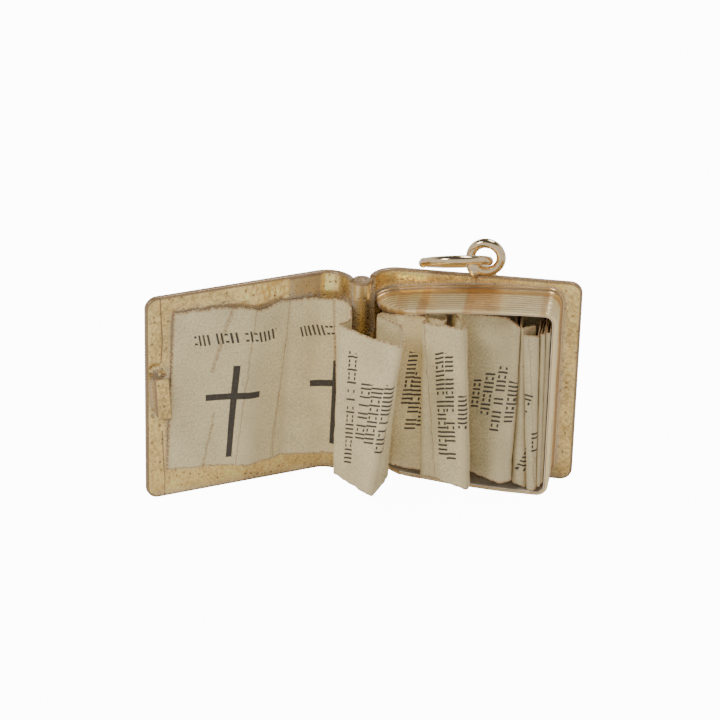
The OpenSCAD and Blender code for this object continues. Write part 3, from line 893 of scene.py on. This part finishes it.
def cover_solid(seed, marks=None):
    """The bent sheet of a cover, in cover directions."""
    edge_r = bpy.context.scene.charm_sizes.edge_r
    bend_end = LEAF + SHOULDER_MID_R * pi / 2
    lip_end = bend_end + SHOULDER_Y - LIP_END_Y
    corner = CORNER_R * (1 - np.cos(np.linspace(0, pi / 2, 14)))
    along = np.unique(np.concatenate([
        corner, graded(CORNER_R, LEAF, 0.13, np.arange(1.02, 1.74, 0.04)),
        graded(LEAF, bend_end, 0.11), graded(bend_end, lip_end, 0.1)]))
    inset = np.where(along < CORNER_R,
                     CORNER_R - np.sqrt(np.maximum(CORNER_R ** 2 - (CORNER_R - along) ** 2, 0)), 0)
    rows = np.concatenate([[0, 0.012, 0.035, 0.07, 0.11], graded(0.16, COVER_H / 2, 0.13)])
    share = np.unique(np.round(np.concatenate([rows, COVER_H - rows]) / COVER_H, 7))
    path, normal = cover_path(along)
    low, high = inset, COVER_H - inset
    a = along[:, None]
    z = low[:, None] + share * (high - low)[:, None]
    gap = edge_gap(a, z)
    calm = smooth_step(0, 0.4, gap)
    inner_relief = cover_relief(a, z, seed + 10)
    if marks:
        inner_relief = inner_relief + marks(a, z)
    return bent_sheet(path, normal, low, high, share, worn_half(gap, COVER_T / 2, edge_r),
                      cover_relief(a, z, seed) * calm, inner_relief * calm)


def cover_wear_and_painted_light(points, front=False):
    """Tarnish, tone and polish of a cover at each of its points, in cover directions.

    Where the polish is below 0, a matt residue lies on the metal. The tone also carries painted
    highlights and painted light, and the tarnish painted shade along the rims and round the
    catch's tongue.
    """
    x, y, z = points.T
    along = COVER_REACH - x
    bend = np.hypot(x - SHOULDER_X, y - SHOULDER_Y)
    off = np.where(x > SHOULDER_X, y - SHOULDER_Y, bend) - SHOULDER_MID_R
    inner = off < 0
    # Brown along the rims: tarnish, and also the painted dark reflection of the rounded edges
    rim = smooth_step(0.24, 0.12, edge_gap(along, z))
    tarnish_and_painted_shade = rim * (0.72 + 0.25 * smooth_step(-0.6, 0.0, off / (COVER_T / 2)))
    # Painted contact shadow: brown along the edges of the catch's tongue
    plate = (y < INNER_Y - CATCH_RISE + 0.06) & (x > 14) & (z > 6) & (z < 10.5)
    lean = CATCH_LEAN * (z - 8.5)
    plate_gap = np.minimum(np.minimum(TONGUE_X[1] + lean - x, x - TONGUE_X[0] - lean),
                           np.minimum(z - TONGUE_Z[0], TONGUE_Z[1] - z))
    tarnish_and_painted_shade = np.where(plate, smooth_step(0.14, 0.03, plate_gap), tarnish_and_painted_shade)
    # Near the hinge: browner, matt with more residue, and drawn lighter as painted light against the shade
    # round the tube
    hinge = smooth_step(1.3, 0.9, np.hypot(x, y))
    tarnish_and_painted_shade += 0.36 * hinge
    tone_and_painted_light = 0.3 * ripple(x, z, 2.2, 52) + 0.5 * hinge
    polish = -0.2 * hinge
    if front:
        # Painted light inside the front cover: a painted highlight on the top strip near the hinge, and
        # lighter stretches beyond it and along the foot; the dull stretch between is drawn darker, browner
        # and rougher
        above = smooth_step(13.2, 13.5, z) * inner
        bright, dull, beyond = (above * between(*stretch, x)
                                for stretch in (PAINTED_HIGHLIGHT_STRETCH, DULL_STRETCH, PAINTED_LIGHT_STRETCH))
        below = inner * smooth_step(2.4, 1.9, z)
        # Painted highlight: a pale line just inside the fore edge
        painted_fore_highlight = inner * bell(along, 0.2, 0.06)
        tone_and_painted_light += 1.3 * bright - 0.3 * dull + 0.7 * (below + beyond) + 0.9 * painted_fore_highlight
        polish -= 0.4 * dull
        tarnish_and_painted_shade += 0.42 * dull + 0.8 * inner * np.maximum(*scribed_lines(along, z))
    else:
        # Painted highlights on the back cover's strip above the page frame
        tone_and_painted_light += smooth_step(COVER_H - 0.75, COVER_H - 0.65, z) * inner * np.interp(x, STRIP_X, STRIP_PAINTED_LIGHT)
    return np.stack([tarnish_and_painted_shade, tone_and_painted_light, polish], -1)


def knuckle(z0, z1):
    """A stretch of the hinge tube with worn ends and its bore."""
    e, bevel = 0.09, 0.03
    ends = [(TUBE_R - e, 0), (TUBE_R - e * 0.3, e * 0.3)]
    profile = [(BORE_R, z0 + bevel), (BORE_R + bevel, z0)] + [(r, z0 + d) for r, d in ends]
    profile += [(TUBE_R, z) for z in graded(z0 + e, z1 - e, 0.25)]
    profile += [(r, z1 - d) for r, d in ends[::-1]] + [(BORE_R + bevel, z1), (BORE_R, z1 - bevel)]
    return lathe(profile, closed=True)


def lip_cutter(z0, z1):
    """A plain box that makes room for the other cover's knuckle in the lip of a cover."""
    grid = np.array([[[[x, y, z] for z in (z0, z1)] for y in (-COVER_Y, LIP_CUT_Y)]
                     for x in (0.0, SHOULDER_X / 2)], float)
    return closed_sheet(grid[0], grid[1])


def ring_solid(at, ring_r, wire_r, turn, steps=(96, 32), offset=0, joint=0):
    """A wire ring, closed, or with its two ends out of line at a joint on its left."""
    ends = pi - joint / 2
    phi = np.linspace(-ends, ends, steps[0], endpoint=joint > 0)[:, None]
    psi = np.linspace(0, 2 * pi, steps[1], endpoint=False)[None, :]
    lift = offset * np.sign(phi) * (phi / pi) ** 2
    wire = wire_r * (1 - 0.25 * smooth_step(ends - 0.02, ends, np.abs(phi)) * (joint > 0))
    r = ring_r + wire * np.cos(psi)
    local = np.stack([r * np.cos(phi), r * np.sin(phi), lift + wire * np.sin(psi)], -1)
    return tube(local @ np.array(turn.to_3x3()).T + np.array(at), closed=joint == 0)


def catch_tongue():
    """The tongue of the catch, bent from one strip with its low wall, in cover directions."""
    low_z, high_z = CATCH_Z
    mid_y = INNER_Y - CATCH_RISE - CATCH_T / 2
    wall_y = np.linspace(INNER_Y + 0.12, mid_y + CATCH_BEND_R, 5)
    turn = np.linspace(0, pi / 2, 8)[1:]
    x = graded(CATCH_TIP_X, CATCH_ROOT_X - CATCH_BEND_R, 0.05)[::-1][1:]
    path = np.concatenate([
        np.stack([np.full(len(wall_y), CATCH_ROOT_X), wall_y], 1),
        np.stack([CATCH_ROOT_X - CATCH_BEND_R * (1 - np.cos(turn)),
                  mid_y + CATCH_BEND_R * (1 - np.sin(turn))], 1),
        np.stack([x, np.full(len(x), mid_y)], 1)])
    step = np.gradient(path, axis=0)
    step /= np.linalg.norm(step, axis=1)[:, None]
    normal = np.stack([-step[:, 1], step[:, 0]], 1)
    across = np.clip((CATCH_ROOT_X - path[:, 0]) / (CATCH_ROOT_X - CATCH_TIP_X), 0, 1)
    foot = smooth_step(mid_y + 0.05, mid_y + 0.30, path[:, 1])
    corner = 0.30 * (1 - np.sqrt(np.clip(1 - np.clip((across - 0.72) / 0.28, 0, 1) ** 2, 0, 1)))
    low = low_z - 0.30 * np.sin(pi * np.clip(across, 0, 0.62) / 1.24) + corner + 0.45 * foot
    high = high_z - 0.28 * across - 0.45 * foot
    share = np.linspace(0, 1, 72)
    z = low[:, None] + share * (high - low)[:, None]
    ends = np.minimum(z - low[:, None], high[:, None] - z)
    half = worn_half(np.minimum(ends, (path[:, 0] - CATCH_TIP_X)[:, None]), CATCH_T / 2, 0.06)
    curl = 0.16 * smooth_step(0.35, 1.0, across)[:, None] * smooth_step(low_z + 1.1, low_z - 0.2, z)
    points, faces = bent_sheet(path, normal, low, high, share, half, curl, -curl)
    points[:, 0] += CATCH_LEAN * (points[:, 2] - (low_z + high_z) / 2)
    return points, faces


class CHARM_OT_covers(bpy.types.Operator):
    """Build both stamped covers with their hinge knuckles, the catch and the soldered ring"""

    bl_idname = "charm.covers"
    bl_label = "Covers"

    def execute(self, context):
        gold, polished = stamped_gold(), polished_gold()
        high = COVER_H - KNUCKLE_H
        back = mesh_object("stamped_back_cover", *cover_solid(3))
        bail = ring_solid(BAIL_AT, BAIL_R, BAIL_WIRE_R, Matrix.Rotation(pi / 2, 4, "X"))
        cut_and_join(back, [("DIFFERENCE", lip_cutter(-1, KNUCKLE_H + KNUCKLE_GAP)),
                            ("DIFFERENCE", lip_cutter(high - KNUCKLE_GAP, COVER_H + 1)),
                            ("UNION", knuckle(KNUCKLE_H + KNUCKLE_GAP, high - KNUCKLE_GAP)),
                            ("UNION", bail),
                            ("UNION", loft(BAIL_FILLET)),
                            ("UNION", loft(BAIL_FOOT))])
        points = coordinates(back)
        keep_values(back, "wear_and_painted_light", cover_wear_and_painted_light(points))
        finish_piece(back, to_row(points), gold, polished, pale_fill_lit_gold())
        x, y, z = points.T
        top = FRAME_H / 2 - 0.15 - (FRAME_X - x) ** 2 / (2 * CROWN_R)
        in_frame = (x > 1.3) & (x < FRAME_X - 0.2) & (y > 0.8) & (y < INNER_Y + 0.1)
        in_frame &= np.abs(z - COVER_H / 2) < top
        on_ring = z > COVER_H + 0.02
        for face in back.data.polygons:
            places = list(face.vertices)
            face.material_index = 1 if on_ring[places].all() else 2 * int(in_frame[places].all())
        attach(back, "book_back")
        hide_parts("back_cover")

        front = mesh_object("stamped_front_cover", *cover_solid(5, inside_marks))
        cut_and_join(front, [("DIFFERENCE", lip_cutter(KNUCKLE_H - LIP_RELIEF, high + LIP_RELIEF)),
                             ("UNION", knuckle(TUBE_SHORT, KNUCKLE_H)),
                             ("UNION", knuckle(high, COVER_H - TUBE_SHORT)),
                             ("UNION", catch_tongue()),
                             ("UNION", loft(CATCH_EAR))])
        points = coordinates(front)
        keep_values(front, "wear_and_painted_light", cover_wear_and_painted_light(points, front=True))
        front.data.flip_normals()
        finish_piece(front, to_row(to_front(points)), gold)
        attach(front, "book_front")
        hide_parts("front_cover")
        return {"FINISHED"}


def frame_outline(at, off, nose):
    """Place on the frame's outline, round from one end at the spine to the other."""
    mid_z, half_h = COVER_H / 2, FRAME_H / 2
    cx, cz = FRAME_X - FRAME_CORNER, half_h - FRAME_CORNER
    arc = FRAME_CORNER * pi / 2
    side = np.where(at <= 0, 1.0, -1.0)
    q = np.abs(at)
    turn = np.clip((q - cz) / FRAME_CORNER, 0, pi / 2)
    wall = np.clip(q - cz - arc, 0, None)
    r = FRAME_CORNER + off
    x = cx + r * np.cos(turn) - wall
    lean = np.clip((NOSE_LEAN_END - x) / (NOSE_LEAN_END - NOSE_X[-1]), 0, 1)
    x = x + lean * (nose - NOSE_X[-1])
    crown = (FRAME_X - x) ** 2 / (2 * CROWN_R)
    z = np.minimum(q, cz) + r * np.sin(turn) - np.where(wall > 0, crown, 0)
    return x, mid_z + side * z


def frame_profile(from_back):
    """Proud height of the frame's outer face: bead, cove, page lines and rim."""
    rib_depth = bpy.context.scene.charm_sizes.rib_depth
    b = np.clip(from_back / BEAD, 0, 1)
    bead_h = 0.04 + 0.16 * np.sqrt(np.maximum(1 - (2 * b - 1) ** 2, 0))
    c = np.clip((from_back - BEAD) / COVE, 0, 1)
    cove_h = 0.04 * (1 - c) - 0.07 * np.sin(pi * c)
    count = (from_back - BEAD - COVE) / PAGE_PITCH
    line = np.abs(count - np.round(count))
    ribs = -rib_depth * bell(line * PAGE_PITCH, 0, 0.045) - 0.004 * np.cos(2 * pi * line)
    return np.where(from_back < BEAD, bead_h, np.where(from_back < BEAD + COVE, cove_h, ribs))


class CHARM_OT_page_frame(bpy.types.Operator):
    """Build the hollow page frame with its bead, cove and engraved page lines"""

    bl_idname = "charm.page_frame"
    bl_label = "Page frame"

    def execute(self, context):
        rim_e, corner_arc, nose_zone = 0.07, FRAME_CORNER * pi / 2, 2.0
        half_loop = FRAME_H / 2 - FRAME_CORNER + corner_arc + FRAME_X - FRAME_CORNER - NOSE_X[-1]
        corner = FRAME_H / 2 - FRAME_CORNER + np.linspace(0, corner_arc, 12)
        half = merged(graded(0, corner[0], 0.22), corner,
                      graded(corner[-1], half_loop - nose_zone, 0.22),
                      graded(half_loop - nose_zone, half_loop, 0.055))
        at = np.concatenate([-half[::-1], half[1:]])[:, None]
        rim_share = rim_e / FRAME_DEPTH * (1 - np.cos(np.linspace(0, pi / 2, 5)))
        depth_share = merged(np.linspace(0, 1, 84), 1 - rim_share)
        x0 = frame_outline(at, 0.0, NOSE_X[-1])[0]
        curve = np.sqrt(np.maximum(FRAME_CURVE_R ** 2 - (np.minimum(x0, SHOULDER_X) - SHOULDER_X) ** 2, 0))
        start = np.where(x0 < SHOULDER_X, INNER_Y - SHOULDER_Y - curve, 0.0)
        depth = start + depth_share[None, :] * (FRAME_DEPTH - start)
        in_seat = between(SEAT_BELOW, SEAT_ABOVE, at) * between(SEAT_BACK, SEAT_FRONT, depth)
        proud = frame_profile(depth - start) - SEAT_DEPTH * in_seat
        round_rim = np.clip(depth - (FRAME_DEPTH - rim_e), 0, rim_e)
        worn = rim_e - np.sqrt(np.maximum(rim_e ** 2 - round_rim ** 2, 0))
        dents = 0.012 * ripple(at, depth, 2.4, 21)
        y = INNER_Y - depth
        nose = np.interp(y, NOSE_Y, NOSE_X)
        lower = np.sqrt(np.maximum(FRAME_CURVE_R ** 2 - np.minimum(y + SHOULDER_Y, 0) ** 2, 0))
        nose = np.maximum(nose, np.where(y < -SHOULDER_Y, SHOULDER_X - lower, 0))
        walls = []
        for off in (proud - worn + dents, -FRAME_WALL + worn + 0 * depth):
            x, z = frame_outline(at, off, nose)
            walls.append(np.stack([x, y + 0 * x, z], -1))
        made = mesh_object("ribbed_page_frame", *closed_sheet(*walls))
        points = coordinates(made)
        outer = np.stack(np.broadcast_arrays(at, depth - start, depth), -1).reshape(-1, 3)
        keep_values(made, "frame_mm", np.concatenate([outer, outer * [1, 0, 1] - [0, 1, 0]]))
        x, soft = points[:, 0], 0.1
        # Where the painted reflections lie on the frame, as warm patches
        painted_reflection = sum(share * between((a - soft, a + soft), (b + soft, b - soft), x)
                    for a, b, share in PAINTED_REFLECTION_PATCHES)
        keep_values(made, "frame_painted_reflection", painted_reflection[:, None] * [1, 1, 1])
        finish_piece(made, to_row(points), rolled_gold(), pale_fill_lit_gold(), sharp=50)
        for face in made.data.polygons:
            face.material_index = int(min(face.vertices) >= len(outer))
        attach(made, "book_back")
        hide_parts("page_frame")
        return {"FINISHED"}


class CHARM_OT_hinge_pin(bpy.types.Operator):
    """Build the riveted pin through the hinge tube"""

    bl_idname = "charm.hinge_pin"
    bl_label = "Hinge pin"

    def execute(self, context):
        low, high = TUBE_SHORT, COVER_H - TUBE_SHORT
        dome = [(PIN_R, 0.06), (PIN_R * 0.9, 0.02), (PIN_R * 0.6, -0.01), (PIN_R * 0.05, -0.02)]
        profile = [(r, low + d) for r, d in dome[::-1]] + [(r, high - d) for r, d in dome]
        made = mesh_object("riveted_hinge_pin", *lathe(profile, steps=40))
        finish_piece(made, to_row(coordinates(made)), rolled_gold())
        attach(made, "book_back")
        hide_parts("hinge_pin")
        return {"FINISHED"}


class CHARM_OT_jump_ring(bpy.types.Operator):
    """Build the polished jump ring that hangs in the soldered ring"""

    bl_idname = "charm.jump_ring"
    bl_label = "Jump ring"

    def execute(self, context):
        turn = Matrix.Rotation(-JUMP_SLOPE, 4, "Y") @ Matrix.Rotation(-JUMP_TILT, 4, "X")
        ring = ring_solid(JUMP_AT, JUMP_R, JUMP_WIRE_R, turn, (160, 36), JUMP_OFFSET, JUMP_JOINT)
        made = mesh_object("polished_jump_ring", *ring)
        finish_piece(made, to_row(coordinates(made)), polished_gold())
        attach(made, "book_back")
        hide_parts("jump_ring")
        return {"FINISHED"}


def fold_path(rows, heights, step=0.16, curve=9):
    """Grid of points on a folded strip, its folds rounded, and the distance along it."""
    table = np.asarray(rows, float)
    corners = table[:, None, 3:6] + (table[:, None, 0:3] - table[:, None, 3:6]) * heights[None, :, None]
    radius = table[:, 6]
    last = len(table) - 1
    pieces = [corners[:1]]
    start = corners[0]
    for i in range(1, last + 1):
        p0 = corners[i]
        if i < last:
            to_a, to_b = corners[i - 1] - corners[i], corners[i + 1] - corners[i]
            len_a, len_b = np.linalg.norm(to_a, axis=1), np.linalg.norm(to_b, axis=1)
            p0 = corners[i] + to_a / len_a[:, None] * np.minimum(radius[i], len_a * 0.45)[:, None]
            p1 = corners[i] + to_b / len_b[:, None] * np.minimum(radius[i], len_b * 0.45)[:, None]
        count = max(2, int(round(np.linalg.norm(p0 - start, axis=1).mean() / step)) + 1)
        t = np.linspace(0, 1, count)[1:, None, None]
        pieces.append(start * (1 - t) + p0 * t)
        if i < last:
            t = np.linspace(0, 1, curve)[1:, None, None]
            pieces.append((1 - t) ** 2 * p0 + 2 * t * (1 - t) * corners[i] + t * t * p1)
            start = p1
    grid = np.concatenate(pieces)
    middle = grid[:, len(heights) // 2]
    along = np.concatenate([[0], np.cumsum(np.linalg.norm(np.diff(middle, axis=0), axis=1))])
    return grid, along


def unit(vectors):
    """Vectors of a grid at length 1."""
    return vectors / np.linalg.norm(vectors, axis=2)[:, :, None]


def paper_piece(name, rows, seed, material, crumple=1.0, rise=None):
    """A folded paper strip with its slight crumple and uneven cut edges."""
    sizes = bpy.context.scene.charm_sizes
    near_edge = np.array([0.005, 0.012, 0.021])
    heights = np.unique(np.concatenate([np.linspace(0, 1, 76), near_edge, 1 - near_edge]))
    grid, along = fold_path(rows, heights)
    tangent = np.gradient(grid, axis=0)
    normal = unit(np.cross(tangent, np.gradient(grid, axis=1)))
    a = along[:, None] + 0 * heights
    z = grid[:, :, 2]
    waves = 0.6 * ripple(a, z, 5.0, seed) + 0.25 * ripple(a, z, 1.6, seed + 1)
    waves += 0.15 * ripple(a, z, 0.7, seed + 3)
    grid = grid + normal * (crumple * sizes.crumple * waves)[:, :, None]
    cut = 0.05 * ripple(a, 0 * a, 2.5, seed + 2) + 0.03 * ripple(a, 0 * a, 0.6, seed + 4)
    grid[:, :, 2] += cut * (2 * heights - 1)
    if rise:
        grid[:, :, 2] += np.interp(along, *rise)[:, None] * heights ** 6
    turned = np.linalg.norm(np.gradient(unit(tangent), axis=0), axis=2)
    fold = np.clip(turned / 0.12, 0, 1)
    edge = np.minimum(np.minimum(z - z[:, :1], z[:, -1:] - z), np.minimum(a, a[-1:] - a))
    half = sizes.paper_t / 2 * (1 - 0.35 * (np.abs(2 * heights - 1) > 0.999))[None, :, None]
    points, faces = closed_sheet(grid + normal * half, grid - normal * half)
    made = mesh_object(name, points, faces)
    front = np.stack([a, z, 0 * a + 1], -1).reshape(-1, 3)
    x, y = grid[:, :, 0], grid[:, :, 1]
    # Painted shade and light: darker deep in the page frame, lighter at its mouth and towards the
    # fore-edge end of the strip on the front cover
    shadow = smooth_step(7.4, 7.6, x) - smooth_step(2.6, 3.0, x) * (x < 7.5)
    shadow = smooth_step(-3.2, -2.0, y) * shadow - 0.3 * smooth_step(-7.0, -11.0, x)
    wear_and_painted_light = np.stack([edge, fold, shadow], -1).reshape(-1, 3)
    keep_values(made, "paper_mm", np.concatenate([front, front * [1, 1, 0]]))
    keep_values(made, "paper_wear_and_painted_light", np.concatenate([wear_and_painted_light, wear_and_painted_light]))
    finish_piece(made, to_row(points), material, sharp=60)
    return made


class CHARM_OT_leaves(bpy.types.Operator):
    """Build the folded paper on the front cover, between the covers and in the frame"""

    bl_idname = "charm.leaves"
    bl_label = "Paper leaves"

    def execute(self, context):
        printed = printed_row()
        rows = [(*to_front((r[0], INNER_Y - r[1], r[2])), *to_front((r[3], INNER_Y - r[4], r[5])), r[6])
                for r in COVER_FOLDS]
        paper = book_paper(printed, COVER_PRINT, COVER_CREASES)
        cover = paper_piece("cover_leaf_strip", rows, 31, paper, rise=(COVER_TOP_ALONG, COVER_TOP_RISE))
        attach(cover, "book_front")
        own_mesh(cover)
        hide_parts("cover_leaves")

        paper = book_paper(printed, BRIDGE_PRINT, BRIDGE_CREASES)
        bridge = paper_piece("bridge_leaf_strip", BRIDGE_FOLDS, 37, paper)
        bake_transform(bridge)
        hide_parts("tray_leaves")

        paper = book_paper(printed, FLAP_PRINT, FLAP_CREASES)
        flap = paper_piece("flap_leaf_strip", FLAP_FOLDS, 41, paper)
        paper = book_paper(printed, STACK_PRINT, STACK_CREASES)
        stack = paper_piece("closed_leaf_stack", STACK_FOLDS, 43, paper, crumple=0.35)
        for made, node in ((flap, "tray_leaves"), (stack, "page_stack")):
            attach(made, "book_back")
            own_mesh(made)
            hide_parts(node)
        return {"FINISHED"}


def area_light(name, at, width, height, power):
    """A soft panel of light that faces the charm."""
    centre = Vector((0, 0, 0.009))
    data = bpy.data.lights.new(name, "AREA")
    data.shape = "RECTANGLE"
    data.size, data.size_y = width, height
    data.energy = power
    made = bpy.data.objects.new(name, data)
    made.location = at
    made.rotation_euler = (centre - Vector(at)).to_track_quat("-Z", "Y").to_euler()
    bpy.context.scene.collection.objects.link(made)


class CHARM_OT_stage(bpy.types.Operator):
    """Set up the camera, the pale floor and the soft studio light"""

    bl_idname = "charm.stage"
    bl_label = "Stage"

    def execute(self, context):
        yaw, elevation, roll = CAMERA_TURN, CAMERA_HEIGHT, CAMERA_ROLL
        forward = Vector((-sin(yaw) * cos(elevation), cos(yaw) * cos(elevation), -sin(elevation)))
        right = Vector((cos(yaw), sin(yaw), 0))
        up = right.cross(forward)
        right, up = right * cos(roll) + up * sin(roll), up * cos(roll) - right * sin(roll)
        data = bpy.data.cameras.new("camera")
        data.sensor_width = 36
        data.lens = LENS
        data.clip_start = 0.01
        camera = bpy.data.objects.new("camera", data)
        placed = Matrix((right, up, -forward)).transposed().to_4x4()
        placed.translation = Vector(to_row(LOOK_AT)) - forward * (CAMERA_DISTANCE * MM)
        camera.matrix_world = placed
        context.scene.collection.objects.link(camera)
        context.scene.camera = camera

        floor_half = 1.5
        corners = [(-floor_half, -floor_half, 0), (floor_half, -floor_half, 0),
                   (floor_half, floor_half, 0), (-floor_half, floor_half, 0)]
        floor = mesh_object("floor", corners, [(0, 1, 2, 3)])
        material, tree = new_material("white card")
        seen = add(tree, "LightPath")
        shader = add(tree, "BsdfPrincipled", {
            "Base Color": (0.92, 0.92, 0.92, 1),
            "Roughness": 0.9,
            "Emission Color": (1, 1, 1, 1),
            "Emission Strength": add(tree, "Math", seen, BACKDROP, operation="MULTIPLY"),
        })
        add(tree, "OutputMaterial", {"Surface": shader})
        floor.data.materials.append(material)

        world = bpy.data.worlds.new("studio")
        world.use_nodes = True
        sky = world.node_tree
        sky.nodes.clear()
        height = add(sky, "SeparateXYZ", add(sky, "TexCoord")).outputs["Z"]
        walls = add(sky, "MapRange", height, 0.50, 0.72, WALL_LIGHT, CEILING_LIGHT)
        strength = add(sky, "Mix", {"Factor": add(sky, "LightPath"), "A": walls, "B": BACKDROP})
        add(sky, "OutputWorld", {"Surface": add(sky, "Background", {"Strength": strength})})
        context.scene.world = world
        for panel in PANELS:
            area_light(*panel)
        return {"FINISHED"}


class CHARM_PT_panel(bpy.types.Panel):
    """Sizes, colours and build steps of the charm"""

    bl_idname = "CHARM_PT_panel"
    bl_label = "Book charm"
    bl_space_type = "VIEW_3D"
    bl_region_type = "UI"
    bl_category = "Charm"

    def draw(self, context):
        for group in (context.scene.charm_sizes, context.scene.charm_colours):
            box = self.layout.box()
            for name in group.__annotations__:
                box.prop(group, name)
        for step in STEPS:
            self.layout.operator("charm." + step)


STEPS = ("stage", "covers", "page_frame", "hinge_pin", "jump_ring", "leaves")
CLASSES = (CharmSizes, CharmColours, CHARM_OT_stage, CHARM_OT_covers, CHARM_OT_page_frame,
           CHARM_OT_hinge_pin, CHARM_OT_jump_ring, CHARM_OT_leaves, CHARM_PT_panel)


def register():
    for item in CLASSES:
        bpy.utils.register_class(item)
    bpy.types.Scene.charm_sizes = PointerProperty(type=CharmSizes)
    bpy.types.Scene.charm_colours = PointerProperty(type=CharmColours)


def unregister():
    del bpy.types.Scene.charm_colours
    del bpy.types.Scene.charm_sizes
    for item in reversed(CLASSES):
        bpy.utils.unregister_class(item)


def main():
    """Builds the whole charm."""
    register()
    for step in STEPS:
        getattr(bpy.ops.charm, step)()


if __name__ == "__main__":
    main()
